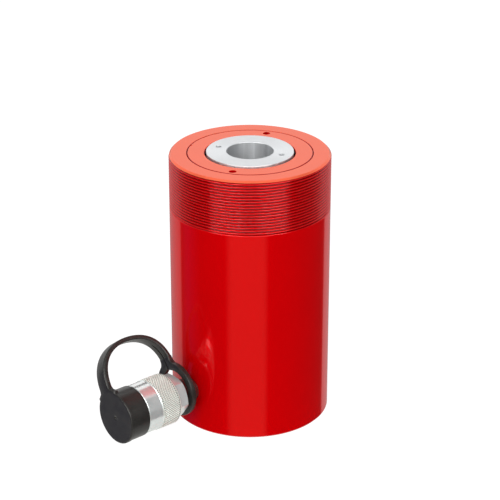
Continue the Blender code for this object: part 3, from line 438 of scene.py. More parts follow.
def darken_seam(shape, groove, radius, top):
    """Marks the broken edges that meet at this radius in a level face as a groove, where the enamel
    paints shade.
    """
    for vert in shape.verts:
        if abs(math.hypot(vert.co.x, vert.co.y) - radius) < SEAM_REACH and vert.co.z < top - TOUCH:
            vert[groove] = SEAM_SHADE


def groove_layer(shape):
    """The layer that says how deep in a groove each corner of the mesh lies, from 0 to 1."""
    return shape.verts.layers.float.new("groove")


def stand_on_coupler(item):
    """Turns an upright piece into the coupler's place."""
    item.data.transform(COUPLER)


def finish_between(item, material, radius, low, high):
    """Gives a piece of the coupler a second finish outside this radius, between two heights."""
    item.data.materials.append(material)
    upright = COUPLER.inverted()
    for face in item.data.polygons:
        place = upright @ face.center
        if low < place.z < high and math.hypot(place.x, place.y) > radius:
            face.material_index = 1


def add_node(tree, kind, inputs=None, **settings):
    """A shader node with its settings, and its inputs set or linked."""
    node = tree.nodes.new("ShaderNode" + kind)
    for name, value in settings.items():
        setattr(node, name, value)
    for name, value in (inputs or {}).items():
        if isinstance(value, bpy.types.NodeSocket):
            tree.links.new(value, node.inputs[name])
        else:
            node.inputs[name].default_value = value
    return node


def new_material(name, **values):
    """A material with a Principled surface, and its tree and surface."""
    material = bpy.data.materials.new(name)
    material.use_nodes = True
    surface = material.node_tree.nodes["Principled BSDF"]
    for label, value in values.items():
        surface.inputs[label.replace("_", " ")].default_value = value
    return material, material.node_tree, surface


def object_noise(tree, size, detail=2.0, stretch=(1, 1, 1)):
    """Noise on Object coordinates whose lumps are this many metres across."""
    place = add_node(tree, "TexCoord").outputs["Object"]
    drawn = add_node(tree, "Mapping", {"Vector": place, "Scale": stretch})
    return add_node(
        tree, "TexNoise", {"Vector": drawn.outputs["Vector"], "Scale": 1 / size, "Detail": detail}
    ).outputs["Fac"]


def shade_between(tree, factor, low, high, low_at=0.3, high_at=0.7):
    """A colour that goes from low to high as the factor rises."""
    spread = add_node(tree, "MapRange", {"Value": factor, "From Min": low_at, "From Max": high_at})
    return add_node(
        tree, "Mix", {"Factor": spread.outputs["Result"], "A": (*low, 1), "B": (*high, 1)},
        data_type="RGBA",
    ).outputs["Result"]


def shaded(tree, colour_output, share):
    """The colour, darkened to this share of itself."""
    return add_node(
        tree, "Mix", {"Factor": share, "A": (0, 0, 0, 1), "B": colour_output}, data_type="RGBA"
    ).outputs["Result"]


def grooved_share(tree, lowest, whole=1.0):
    """The whole on the mesh's crests, falling to this share of it at the bottom of its grooves."""
    depth = add_node(tree, "Attribute", attribute_name="groove").outputs["Fac"]
    share = add_node(tree, "MapRange", {"Value": depth, "To Min": 1.0, "To Max": lowest})
    return add_node(
        tree, "Math", {0: share.outputs["Result"], 1: whole}, operation="MULTIPLY"
    ).outputs["Value"]


def scaled(colour_value, factor):
    """The colour with its brightness multiplied."""
    return tuple(min(channel * factor, 1.0) for channel in colour_value)


def link(tree, surface, **sockets):
    """Links outputs to the surface's inputs of these names."""
    for label, output in sockets.items():
        tree.links.new(output, surface.inputs[label.replace("_", " ")])


def mottle(tree, surface, pattern, tones, roughness):
    """Moves the colour and the roughness between their two values as the pattern rises."""
    rough = add_node(
        tree, "MapRange",
        {"Value": pattern, "From Min": 0.3, "From Max": 0.7, "To Min": roughness[0],
         "To Max": roughness[1]},
    ).outputs["Result"]
    link(tree, surface, Base_Color=shade_between(tree, pattern, *tones), Roughness=rough)


def gloss_red_enamel():
    """Sprayed two-pack enamel over a bright ground: deep red, with a clear gloss of its own.

    Painted shade darkens it in the thread's groove and the seam.
    """
    finishes = bpy.context.scene.finishes
    material, tree, surface = new_material(
        "gloss_red_enamel", Metallic=0.25, Roughness=0.2, Specular_IOR_Level=0.0,
        Coat_Weight=0.38, Coat_Roughness=0.03,
    )
    # Level faces get a lighter, warmer colour than walls, kept out of the thread's groove and the
    # seam: a painted highlight of the light from above
    facing = add_node(tree, "NewGeometry").outputs["Normal"]
    upward = add_node(tree, "SeparateXYZ", {"Vector": facing}).outputs["Z"]
    level = grooved_share(tree, 0.0, upward)
    tone = shade_between(tree, level, finishes.enamel, finishes.enamel_lit_top, 0.62, 0.7)
    # Slight unevenness of the film, over patches of 30 mm
    film = add_node(
        tree, "MapRange",
        {"Value": object_noise(tree, 0.03), "From Min": 0.3, "From Max": 0.7, "To Min": 0.97},
    ).outputs["Result"]
    # Painted shade in the thread's groove and the seam, down to a fifth of the colour at the
    # groove's bottom
    tone = shaded(tree, shaded(tree, tone, film), grooved_share(tree, 0.2))
    # Orange peel of 1.6 mm, a few micrometres deep
    peel = add_node(
        tree, "Bump",
        {"Height": object_noise(tree, 0.0016, 1.0), "Distance": 0.000004, "Strength": 0.6},
    ).outputs["Normal"]
    link(tree, surface, Base_Color=tone, Normal=peel, Coat_Normal=peel)
    return material


def radius_from_axis(tree):
    """Distance from the cylinder's axis, in metres."""
    place = add_node(tree, "TexCoord").outputs["Object"]
    flat = add_node(tree, "VectorMath", {0: place, 1: (1, 1, 0)}, operation="MULTIPLY")
    return add_node(
        tree, "VectorMath", {0: flat.outputs["Vector"]}, operation="LENGTH"
    ).outputs["Value"]


def across_the_lay(tree):
    """The direction on a turned face that crosses its circular tool marks."""
    place = add_node(tree, "TexCoord")
    round_axis = add_node(
        tree, "VectorMath", {0: (0, 0, 1), 1: place.outputs["Object"]}, operation="CROSS_PRODUCT"
    )
    return add_node(
        tree, "VectorMath", {0: place.outputs["Normal"], 1: round_axis.outputs["Vector"]},
        operation="CROSS_PRODUCT",
    ).outputs["Vector"]


def turned_steel():
    """Free-cutting steel faced and bored on a lathe: pale, with fine circular tool marks.

    The marks spread what it reflects across themselves, so the bore shows upright streaks.
    """
    finishes = bpy.context.scene.finishes
    material, tree, surface = new_material("turned_steel", Metallic=0.75, Anisotropic=0.6)
    place = add_node(tree, "TexCoord")
    height = add_node(tree, "SeparateXYZ", {"Vector": place.outputs["Object"]}).outputs["Z"]
    reach = add_node(
        tree, "Math", {0: radius_from_axis(tree), 1: height}, operation="ADD"
    ).outputs["Value"]
    across = add_node(tree, "CombineXYZ", {"X": reach}).outputs["Vector"]
    # The feed of 0.15 mm a turn is too fine to show, so it is drawn at 0.5 mm
    marks = add_node(
        tree, "TexNoise", {"Vector": across, "Scale": 1 / 0.0005, "Detail": 3.0}
    ).outputs["Fac"]
    tone = shade_between(tree, marks, scaled(finishes.saddle, 0.92), finishes.saddle)
    # Streaks of 4 mm along the upright bore darken its walls: painted reflection bands of the
    # lights above
    streaks = add_node(
        tree, "MapRange",
        {"Value": object_noise(tree, 0.004, 2.0, (1, 1, 0.03)), "From Min": 0.42,
         "From Max": 0.58, "To Min": 0.8},
    ).outputs["Result"]
    upward = add_node(tree, "SeparateXYZ", {"Vector": place.outputs["Normal"]}).outputs["Z"]
    level = add_node(tree, "Math", {0: upward}, operation="ABSOLUTE").outputs["Value"]
    bore = add_node(
        tree, "MapRange",
        {"Value": level, "From Min": 0.1, "From Max": 0.3, "To Min": 1.0, "To Max": 0.0},
    ).outputs["Result"]
    # Only the bore's walls take the painted reflection streaks
    drawn = add_node(
        tree, "Mix", {"Factor": bore, "A": 1.0, "B": streaks}, data_type="FLOAT"
    ).outputs["Result"]
    rough = add_node(
        tree, "MapRange",
        {"Value": object_noise(tree, 0.006), "From Min": 0.3, "From Max": 0.7, "To Min": 0.42,
         "To Max": 0.48},
    ).outputs["Result"]
    feed = add_node(
        tree, "Bump", {"Height": marks, "Distance": 0.000006, "Strength": 0.5}
    ).outputs["Normal"]
    link(
        tree, surface, Base_Color=shaded(tree, tone, drawn), Roughness=rough, Normal=feed,
        Tangent=across_the_lay(tree),
    )
    return material


def ground_steel():
    """Hardened steel, cylindrically ground and polished: bright, with hair-fine rings."""
    finishes = bpy.context.scene.finishes
    material, tree, surface = new_material("ground_steel", Metallic=1.0)
    # Grinding lines of 0.3 mm round the axis, stretched flat
    lines = object_noise(tree, 0.0003, 2.0, (0.02, 0.02, 1.0))
    mottle(tree, surface, lines, (scaled(finishes.steel, 0.94), finishes.steel), (0.14, 0.24))
    cut = add_node(tree, "Bump", {"Height": lines, "Distance": 0.000002, "Strength": 0.4})
    link(tree, surface, Normal=cut.outputs["Normal"])
    return material


def bright_zinc():
    """Steel with bright zinc plate: silvery, a little milky, with cloudy passivation."""
    finishes = bpy.context.scene.finishes
    material, tree, surface = new_material("bright_zinc", Metallic=0.55)
    clouds = object_noise(tree, 0.004, 3.0)
    mottle(tree, surface, clouds, (scaled(finishes.zinc, 0.93), finishes.zinc), (0.16, 0.22))
    grain = add_node(
        tree, "Bump",
        {"Height": object_noise(tree, 0.0006), "Distance": 0.000002, "Strength": 0.1},
    )
    link(tree, surface, Normal=grain.outputs["Normal"])
    return material


def knurled_zinc():
    """The same plate on the knurl, nearly white: a painted highlight of the light its facets
    scatter.

    Painted shade darkens the bottoms of its grooves.
    """
    finishes = bpy.context.scene.finishes
    material, tree, surface = new_material("knurled_zinc", Metallic=0.1, Roughness=0.45)
    clouds = object_noise(tree, 0.004, 3.0)
    tone = shade_between(tree, clouds, scaled(finishes.knurl, 0.93), finishes.knurl)
    # Painted shade: the bottoms of the grooves fall to about a quarter of the colour
    link(tree, surface, Base_Color=shaded(tree, tone, grooved_share(tree, 0.24)))
    return material


def soft_black_rubber():
    """Moulded soft rubber: near black, satin, faintly dusty where it has been handled."""
    rubber = bpy.context.scene.finishes.rubber
    material, tree, surface = new_material("soft_black_rubber", Specular_IOR_Level=0.3)
    bloom = object_noise(tree, 0.007, 3.0)
    mottle(tree, surface, bloom, (scaled(rubber, 0.8), scaled(rubber, 1.1)), (0.28, 0.38))
    # Mould texture of 0.5 mm
    skin = add_node(
        tree, "Bump",
        {"Height": object_noise(tree, 0.0005, 1.0), "Distance": 0.00001, "Strength": 0.35},
    )
    link(tree, surface, Normal=skin.outputs["Normal"])
    return material


def plain_finish(name, base, roughness, metallic, lump):
    """A finish of one colour with slight cloudiness over lumps of this size, and a fine grain."""
    material, tree, surface = new_material(name, Metallic=metallic)
    clouds = object_noise(tree, lump, 3.0)
    spread = (roughness * 0.85, roughness * 1.15)
    mottle(tree, surface, clouds, (scaled(base, 0.85), scaled(base, 1.1)), spread)
    grain = add_node(
        tree, "Bump",
        {"Height": object_noise(tree, lump / 8), "Distance": 0.000006, "Strength": 0.4},
    )
    link(tree, surface, Normal=grain.outputs["Normal"])
    return material


def one_turn(points, pitch, steps):
    """A mesh of one turn of the helical sheet that the (radius, height) points sweep."""
    shape = bmesh.new()
    verts = [shape.verts.new((point.x, 0.0, point.y)) for point in points]
    edges = [shape.edges.new(pair) for pair in zip(verts, verts[1:])]
    bmesh.ops.spin(
        shape, geom=verts + edges, axis=(0, 0, 1), cent=(0, 0, 0), dvec=(0, 0, pitch / steps),
        angle=math.tau, steps=steps, use_merge=False, use_duplicate=False,
    )
    mesh = bpy.data.meshes.new("turn")
    shape.to_mesh(mesh)
    shape.free()
    return mesh


def cut_thread(shape, groove, start, end, sizes):
    """Swaps the plain wall between two (radius, height) rings for a right-handed helical thread.

    Its crests and roots are round, as the paint leaves them, and its columns are the wall's.
    What would run past either end is laid on that end's ring. The groove rises to the wall just
    above the lower ring, and the chamfer cuts the thread off above.
    """
    wall = [
        face for face in shape.faces
        if all(
            math.hypot(vert.co.x, vert.co.y) > end.x - TOUCH
            and start.y - TOUCH < vert.co.z < end.y + TOUCH
            for vert in face.verts
        )
    ]
    bmesh.ops.delete(shape, geom=wall, context="FACES")
    pitch = sizes.thread_pitch
    points = []
    for step in range(THREAD_STEPS + 1):
        depth = sizes.thread_depth * (1 - math.cos(math.tau * step / THREAD_STEPS)) / 2
        points.append(Vector((start.x - depth, start.y - pitch + pitch * step / THREAD_STEPS)))
    turn = one_turn(points, pitch, BARREL_STEPS)
    before = len(shape.verts)
    for index in range(math.ceil((end.y - start.y) / pitch) + 1):
        first = len(shape.verts)
        shape.from_mesh(turn)
        shape.verts.ensure_lookup_table()
        bmesh.ops.translate(shape, vec=(0, 0, index * pitch), verts=shape.verts[first:])
    for vert in shape.verts[before:]:
        outward = Vector((vert.co.x, vert.co.y, 0.0))
        run_out = min(max((vert.co.z - start.y) / (pitch / 2), 0.0), 1.0)
        reach = start.x - (start.x - outward.length) * run_out
        height = min(max(vert.co.z, start.y), end.y)
        vert[groove] = (start.x - reach) / sizes.thread_depth if height < end.y else 0.0
        reach = end.x if vert.co.z >= end.y else min(reach, end.x + end.y - vert.co.z)
        vert.co = outward.normalized() * reach + Vector((0, 0, height))
    bmesh.ops.remove_doubles(shape, verts=shape.verts, dist=TOUCH)
    bmesh.ops.dissolve_degenerate(shape, edges=shape.edges, dist=TOUCH / 2)
    bmesh.ops.recalc_face_normals(shape, faces=shape.faces)


class HYDRAULIC_OT_barrel(bpy.types.Operator):
    """The enamelled barrel with its threaded collar, its base and its oil port"""

    bl_idname = "hydraulic.barrel"
    bl_label = "Barrel"

    def execute(self, context):
        sizes = context.scene.cylinder_sizes
        outline = self.outline(sizes)
        fine = rounded(outline, False, sizes.edge_round)
        barrel = add_object("barrel_shell", turned(fine, True, BARREL_STEPS))
        ring = BARREL_RADIUS - sizes.mounting_hole_inset
        depth = sizes.mounting_hole_depth
        drill(barrel, sizes.mounting_hole, depth, ring, 0.0, 0.0, facing=-1.0)
        deep, shallow = -sizes.oilway_depth, -sizes.port_depth
        port = turned(
            [Vector(point) for point in (
                (0.0, deep), (sizes.oilway / 2, deep), (sizes.oilway / 2, shallow),
                (sizes.port / 2, shallow), (sizes.port / 2, OVERRUN), (0.0, OVERRUN),
            )],
            False, SMALL_STEPS,
        )
        bmesh.ops.transform(port, matrix=COUPLER, verts=port.verts)
        carve(barrel, add_object("port", port))
        shape = bmesh.new()
        shape.from_mesh(barrel.data)
        groove = groove_layer(shape)
        cut_thread(shape, groove, outline[-1], outline[0], sizes)
        darken_seam(shape, groove, SEAM_RADIUS, BARREL_TOP)
        shape.to_mesh(barrel.data)
        shape.free()
        dress(barrel, gloss_red_enamel(), "cylinder", "cylinder_barrel")
        return {"FINISHED"}

    def outline(self, sizes):
        """The barrel's outline from the upper end of its thread, over the top, to the lower end."""
        points, _ = outline_of("cylinder_barrel")
        low = BARREL_TOP - sizes.thread_length
        root = BARREL_RADIUS - sizes.thread_depth
        collar = [index for index, point in enumerate(points) if point.x > root and point.y > low]
        top = max(collar, key=lambda index: points[index].y)
        points = points[top:] + points[:top]
        if points[1].y < points[-1].y:
            points = points[:1] + points[:0:-1]
        points = points[:1] + [
            point for point in points[1:] if point.x < root or point.y < low + TOUCH
        ]
        # Rings close under the thread and either side of the port keep their shading off the wall
        heights = [points[-1].y - sizes.thread_pitch / 6]
        heights += [COUPLER_JOINT["pos_m"][2] + sizes.port * share for share in (0.75, -0.75)]
        for place, height in enumerate(heights):
            points.insert(-1 - place, Vector((BARREL_RADIUS, height)))
        return points


class HYDRAULIC_OT_stop_ring(bpy.types.Operator):
    """The enamelled stop ring with its two spanner holes"""

    bl_idname = "hydraulic.stop_ring"
    bl_label = "Stop Ring"

    def execute(self, context):
        sizes = context.scene.cylinder_sizes
        shape = turned_copy("stop_ring", BARREL_STEPS)
        darken_seam(shape, groove_layer(shape), SEAM_RADIUS, BARREL_TOP)
        ring = add_object("stop_ring_shell", shape)
        radius = SEAM_RADIUS - sizes.ring_pin_inset
        drill(
            ring, sizes.ring_pin_hole, sizes.ring_pin_depth, radius, sizes.ring_pin_angle,
            BARREL_TOP,
        )
        stake = sizes.ring_stake
        radius = SEAM_RADIUS - stake / 4
        drill(ring, stake, stake / 2, radius, sizes.ring_stake_angle, BARREL_TOP, count=1)
        enamel = bpy.data.materials["gloss_red_enamel"]
        dress(ring, enamel, "cylinder", "stop_ring")
        return {"FINISHED"}


class HYDRAULIC_OT_saddle(bpy.types.Operator):
    """The turned saddle with its two spanner holes"""

    bl_idname = "hydraulic.saddle"
    bl_label = "Saddle"

    def execute(self, context):
        sizes = context.scene.cylinder_sizes
        points, closed = outline_of("saddle")
        points = sharpened(points, SADDLE_TOP, sizes.saddle_chamfer)
        shape = turned(rounded(points, closed, sizes.edge_round), closed, PLUNGER_STEPS)
        saddle = add_object("saddle_shell", shape)
        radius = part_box("saddle")[1].x - sizes.saddle_pin_inset
        drill(
            saddle, sizes.saddle_pin_hole, sizes.saddle_pin_depth, radius, sizes.saddle_pin_angle,
            SADDLE_TOP, countersink=sizes.saddle_pin_chamfer,
        )
        dress(saddle, turned_steel(), "plunger_group", "saddle")
        return {"FINISHED"}


class HYDRAULIC_OT_plunger(bpy.types.Operator):
    """The ground plunger, the center tube it slides on, and their seals and bearings"""

    bl_idname = "hydraulic.plunger"
    bl_label = "Plunger And Seals"

    def execute(self, context):
        finishes = context.scene.finishes
        steel = ground_steel()
        # Moulded nitrile is dull black, cast polyurethane a satin amber, filled fluoropolymer a
        # waxy white, and sintered bronze a brownish metal that its pores make satin
        nitrile = plain_finish("nitrile_rubber", finishes.nitrile, 0.5, 0.0, 0.004)
        polyurethane = plain_finish("amber_polyurethane", finishes.polyurethane, 0.35, 0.0, 0.006)
        fluoropolymer = plain_finish(
            "white_fluoropolymer", finishes.fluoropolymer, 0.45, 0.0, 0.006
        )
        bronze = plain_finish("bearing_bronze", finishes.bronze, 0.35, 1.0, 0.005)
        pieces = (
            ("plunger", steel, "plunger_group", "bright_steel"),
            ("center_tube", steel, "cylinder", "bright_steel"),
            ("tube_base_seal", nitrile, "cylinder", "nitrile"),
            ("rod_wiper", nitrile, "cylinder", "nitrile"),
            ("rod_bearing", bronze, "cylinder", "bronze"),
            ("piston_seal", polyurethane, "plunger_group", "amber_polymer"),
            ("piston_backup_ring", fluoropolymer, "plunger_group", "white_polymer"),
            ("piston_bearing", bronze, "plunger_group", "bronze"),
            ("tube_seal", polyurethane, "plunger_group", "amber_polymer"),
            ("tube_backup_ring", fluoropolymer, "plunger_group", "white_polymer"),
            ("tube_bearing", bronze, "plunger_group", "bronze"),
        )
        for node, material, body, slot in pieces:
            item = add_object(node + "_fine", turned_copy(node, PLUNGER_STEPS))
            dress(item, material, body, node)
        return {"FINISHED"}


def coil(mean, wire, low, high, turns, steps):
    """A bmesh of a compression spring about Z, its closed end turns ground flat at low and high."""
    shape = bmesh.new()
    start = low + wire / 4
    closed_pitch = wire * CLOSED_PITCH
    open_pitch = (high - low - wire / 2 - 2 * closed_pitch) / (turns - 2)
    place = Matrix.Translation((mean, 0, start)) @ Matrix.Rotation(math.pi / 2, 4, "X")
    bmesh.ops.create_circle(shape, segments=WIRE_STEPS, radius=wire / 2, matrix=place)
    tip = shape.verts[:] + shape.edges[:]
    for pitch, count in ((closed_pitch, 1), (open_pitch, turns - 2), (closed_pitch, 1)):
        made = bmesh.ops.spin(
            shape, geom=tip, axis=(0, 0, 1), cent=(0, 0, 0), dvec=(0, 0, pitch / steps),
            angle=math.tau * count, steps=count * steps, use_merge=False, use_duplicate=False,
        )
        tip = made["geom_last"]
    bmesh.ops.holes_fill(shape, edges=shape.edges, sides=0)
    for height, side in ((low, -1), (high, 1)):
        bmesh.ops.bisect_plane(
            shape, geom=shape.verts[:] + shape.edges[:] + shape.faces[:], dist=TOUCH,
            plane_co=(0, 0, height), plane_no=(0, 0, side), clear_outer=True,
        )
        bmesh.ops.holes_fill(shape, edges=shape.edges, sides=0)
    bmesh.ops.recalc_face_normals(shape, faces=shape.faces)
    return shape


class HYDRAULIC_OT_springs(bpy.types.Operator):
    """The return spring round the plunger and the small spring of the coupler's valve"""

    bl_idname = "hydraulic.springs"
    bl_label = "Springs"

    def execute(self, context):
        sizes = context.scene.cylinder_sizes
        # Spring wire, phosphated and oiled: a dark grey metal, satin and slightly patchy
        wire = context.scene.finishes.spring_steel
        steel = plain_finish("phosphated_spring_steel", wire, 0.4, 1.0, 0.005)
        low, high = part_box("return_spring")
        mean = high.x - sizes.spring_wire / 2
        shape = coil(
            mean, sizes.spring_wire, low.z, high.z, sizes.spring_turns, SPRING_STEPS
        )
        spring = add_object("return_spring_wire", shape)
        dress(spring, steel, "cylinder", "return_spring")
        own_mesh(spring)
        coupler = context.scene.coupler_sizes
        low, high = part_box("coupler_valve_spring")
        mean = high.x - coupler.valve_wire / 2
        reach = COUPLER_JOINT["pos_m"][1]
        shape = coil(
            mean, coupler.valve_wire, reach - high.y, reach - low.y, coupler.valve_turns,
            VALVE_SPRING_STEPS,
        )
        spring = add_object("valve_spring_wire", shape)
        stand_on_coupler(spring)
        dress(spring, steel, "cylinder", "coupler_valve_spring")
        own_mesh(spring)
        return {"FINISHED"}

    def travel(self, name):
        """How far the joint of this name slides."""
        joint = next(joint for joint in frame["joints"] if joint["name"] == name)
        return joint["range_m"][1]


class HYDRAULIC_OT_coupler_body(bpy.types.Operator):
    """The zinc-plated body of the coupler with its hexagon, and its valve"""

    bl_idname = "hydraulic.coupler_body"
    bl_label = "Coupler Body"

    def execute(self, context):
        sizes = context.scene.coupler_sizes
        edge = context.scene.cylinder_sizes.edge_round
        zinc = bright_zinc()
        points, _ = outline_of("coupler_body", COUPLER)
        housing = max(point.x for point in points if point.y > sizes.hex_front + edge)
        nipple = max(point.x for point in points if point.y < 0)
        points = [
            point for point in points
            if point.x < housing + TOUCH and (point.y > sizes.hex_back + TOUCH or point.x < nipple)
        ]
        points += self.nipple(sizes, nipple)
        shape = turned(rounded(points, True, edge), True, COUPLER_STEPS)
        core = add_object("coupler_body_plated", shape)
        carve(core, self.hexagon(sizes, housing), "UNION")
        stand_on_coupler(core)
        dress(core, zinc, "cylinder", "coupler_body")
        finishes = context.scene.finishes
        # Sealant dried on the thread is a dull dark red, also painted shade on the neck round the
        # ring, and blackened steel a satin dark grey
        sealant_and_shade = plain_finish("shaded_sealed_thread", finishes.sealant_and_shade, 0.5, 0.0, 0.003)
        finish_between(core, sealant_and_shade, nipple * 0.8, sizes.nipple_start, sizes.hex_back)
        dark = plain_finish("blackened_steel", finishes.dark_steel, 0.4, 1.0, 0.004)
        steel = bpy.data.materials["ground_steel"]
        nitrile = bpy.data.materials["nitrile_rubber"]
        pieces = (
            ("coupler_valve_seat", OUTLINE_ANGLE, steel, "cylinder", "bright_steel"),
            ("coupler_poppet", 45.0, steel, "poppet", "bright_steel"),
            ("coupler_nose_seal", OUTLINE_ANGLE, nitrile, "cylinder", "nitrile"),
        )
        for node, angle, material, body, slot in pieces:
            item = add_object(node + "_fine", turned_copy(node, SMALL_STEPS, COUPLER, angle))
            stand_on_coupler(item)
            dress(item, material, body, node)
        for node in ("coupler_snap_ring", "coupler_valve_guide"):
            frame["nodes"][node].data.materials.clear()
            frame["nodes"][node].data.materials.append(dark)
        return {"FINISHED"}

    def nipple(self, sizes, radius):
        """The outline of the neck, from inside the port, over its last threads, to the hexagon.

        Crests and roots are flat over a tenth of the pitch, and the thread is half a pitch deep.
        """
        pitch = sizes.nipple_pitch
        root = radius - pitch / 2
        half = pitch / 20
        points = [Vector((radius, sizes.nipple_start)), Vector((radius, -pitch))]
        for index in range(int(sizes.nipple_thread / pitch)):
            middle = pitch * (index - 0.5)
            points += [Vector((root, middle - half)), Vector((root, middle + half))]
            crest = pitch * index
            points += [Vector((radius, crest - half)), Vector((radius, crest + half))]
        points.append(Vector((radius, sizes.hex_back)))
        return points

    def hexagon(self, sizes, housing):
        """The hexagon, its corners turned to a chamfer on both faces."""
        shape = bmesh.new()
        flat = sizes.hex_flats / 2
        corner = flat / math.cos(math.pi / 6)
        turn = Matrix.Rotation(sizes.hex_turn - math.pi / 2, 4, "Z")
        place = Matrix.Translation((0, 0, sizes.hex_back)) @ turn
        bmesh.ops.create_circle(shape, segments=6, radius=corner, cap_ends=True, matrix=place)
        made = bmesh.ops.extrude_face_region(shape, geom=shape.faces[:])
        rise = (0, 0, sizes.hex_front - sizes.hex_back)
        verts = [item for item in made["geom"] if isinstance(item, bmesh.types.BMVert)]
        bmesh.ops.translate(shape, vec=rise, verts=verts)
        bmesh.ops.recalc_face_normals(shape, faces=shape.faces)
        bmesh.ops.bevel(
            shape, geom=shape.edges[:], offset=sizes.hex_edge, offset_type="OFFSET", segments=2,
            profile=0.5, affect="EDGES", clamp_overlap=True, material=-1,
        )
        blank = add_object("hexagon", shape)
        root = housing - sizes.hex_root
        reach = corner + OVERRUN
        rise = (reach - flat) * sizes.hex_chamfer
        turning = [
            (root, sizes.hex_back), (flat, sizes.hex_back), (reach, sizes.hex_back + rise),
            (reach, sizes.hex_front - rise), (flat, sizes.hex_front), (root, sizes.hex_front),
        ]
        tool = turned([Vector(point) for point in turning], True, COUPLER_STEPS)
        carve(blank, add_object("turning", tool), "INTERSECT")
        return blank


class HYDRAULIC_OT_coupler_sleeve(bpy.types.Operator):
    """The zinc-plated union sleeve with its diamond knurl"""

    bl_idname = "hydraulic.coupler_sleeve"
    bl_label = "Coupler Sleeve"

    def execute(self, context):
        sizes = context.scene.coupler_sizes
        edge = context.scene.cylinder_sizes.edge_round
        points, closed = outline_of("coupler_sleeve", COUPLER)
        points = rounded(points, closed, edge)
        radius = max(point.x for point in points)
        start, end, rows = sizes.knurl_start, sizes.knurl_end, sizes.knurl_rows
        heights = [start + (end - start) * row / rows for row in range(rows + 1)]
        outline = []
        for index, point in enumerate(points):
            outline.append(point)
            after = points[(index + 1) % len(points)]
            outside = min(point.x, after.x) > radius - TOUCH
            if outside and abs(after.y - point.y) > (end - start) / 2:
                rising = heights if after.y > point.y else heights[::-1]
                outline += [Vector((radius, height)) for height in rising]
        shape = turned(outline, closed, sizes.knurl_columns)
        self.knurl(shape, radius, sizes)
        sleeve = add_object("coupler_sleeve_knurled", shape)
        stand_on_coupler(sleeve)
        zinc = bpy.data.materials["bright_zinc"]
        dress(sleeve, zinc, "sleeve", "coupler_sleeve")
        floor = radius - sizes.knurl_depth * 1.5
        low, high = start - sizes.knurl_back_edge, end + sizes.knurl_front_edge
        finish_between(sleeve, knurled_zinc(), floor, low, high)
        return {"FINISHED"}

    def knurl(self, shape, radius, sizes):
        """Turns the cells of the knurled band into raised diamonds with flat tops.

        The tops stay a little under the sleeve's own radius.
        """
        groove = groove_layer(shape)
        band = self.banded(shape, radius, sizes)
        inside = set(band)
        seams = {
            edge for face in band for edge in face.edges
            if all(side in inside for side in edge.link_faces)
        }
        bmesh.ops.poke(shape, faces=band, offset=0.0)
        bmesh.ops.dissolve_edges(shape, edges=list(seams), use_verts=False)
        diamonds = [face for face in self.banded(shape, radius, sizes) if len(face.verts) == 4]
        for vert in {vert for face in diamonds for vert in face.verts}:
            outward = Vector((vert.co.x, vert.co.y, 0)).normalized()
            vert.co = outward * (radius - sizes.knurl_depth) + Vector((0, 0, vert.co.z))
            vert[groove] = 1.0
        cell = (sizes.knurl_end - sizes.knurl_start) / sizes.knurl_rows
        bmesh.ops.inset_individual(
            shape, faces=diamonds, thickness=cell * sizes.knurl_slope,
            depth=sizes.knurl_depth * sizes.knurl_rise, use_even_offset=True,
        )
        for face in diamonds:
            for vert in face.verts:
                vert[groove] = 0.0
        bmesh.ops.recalc_face_normals(shape, faces=shape.faces)

    def banded(self, shape, radius, sizes):
        """The faces of the outer wall between the knurl's two ends."""
        least = radius * math.cos(math.pi / sizes.knurl_columns) - TOUCH
        return [
            face for face in shape.faces
            if all(
                math.hypot(vert.co.x, vert.co.y) > least
                and sizes.knurl_start - TOUCH < vert.co.z < sizes.knurl_end + TOUCH
                for vert in face.verts
            )
        ]


def bezier(ends, share):
    """The point and direction at this share of a cubic Bezier curve."""
    rest = 1 - share
    start, first, second, end = (Vector(point) for point in ends)
    point = (
        start * rest**3 + first * 3 * rest**2 * share + second * 3 * rest * share**2
        + end * share**3
    )
    direction = (
        (first - start) * rest**2 + (second - first) * 2 * rest * share + (end - second) * share**2
    )
    return point, direction.normalized()


def arc(centre, radius, start, end, steps):
    """Points along an arc, from one angle to the other."""
    points = []
    for step in range(steps + 1):
        angle = start + (end - start) * step / steps
        points.append(centre + Vector((math.cos(angle), math.sin(angle))) * radius)
    return points


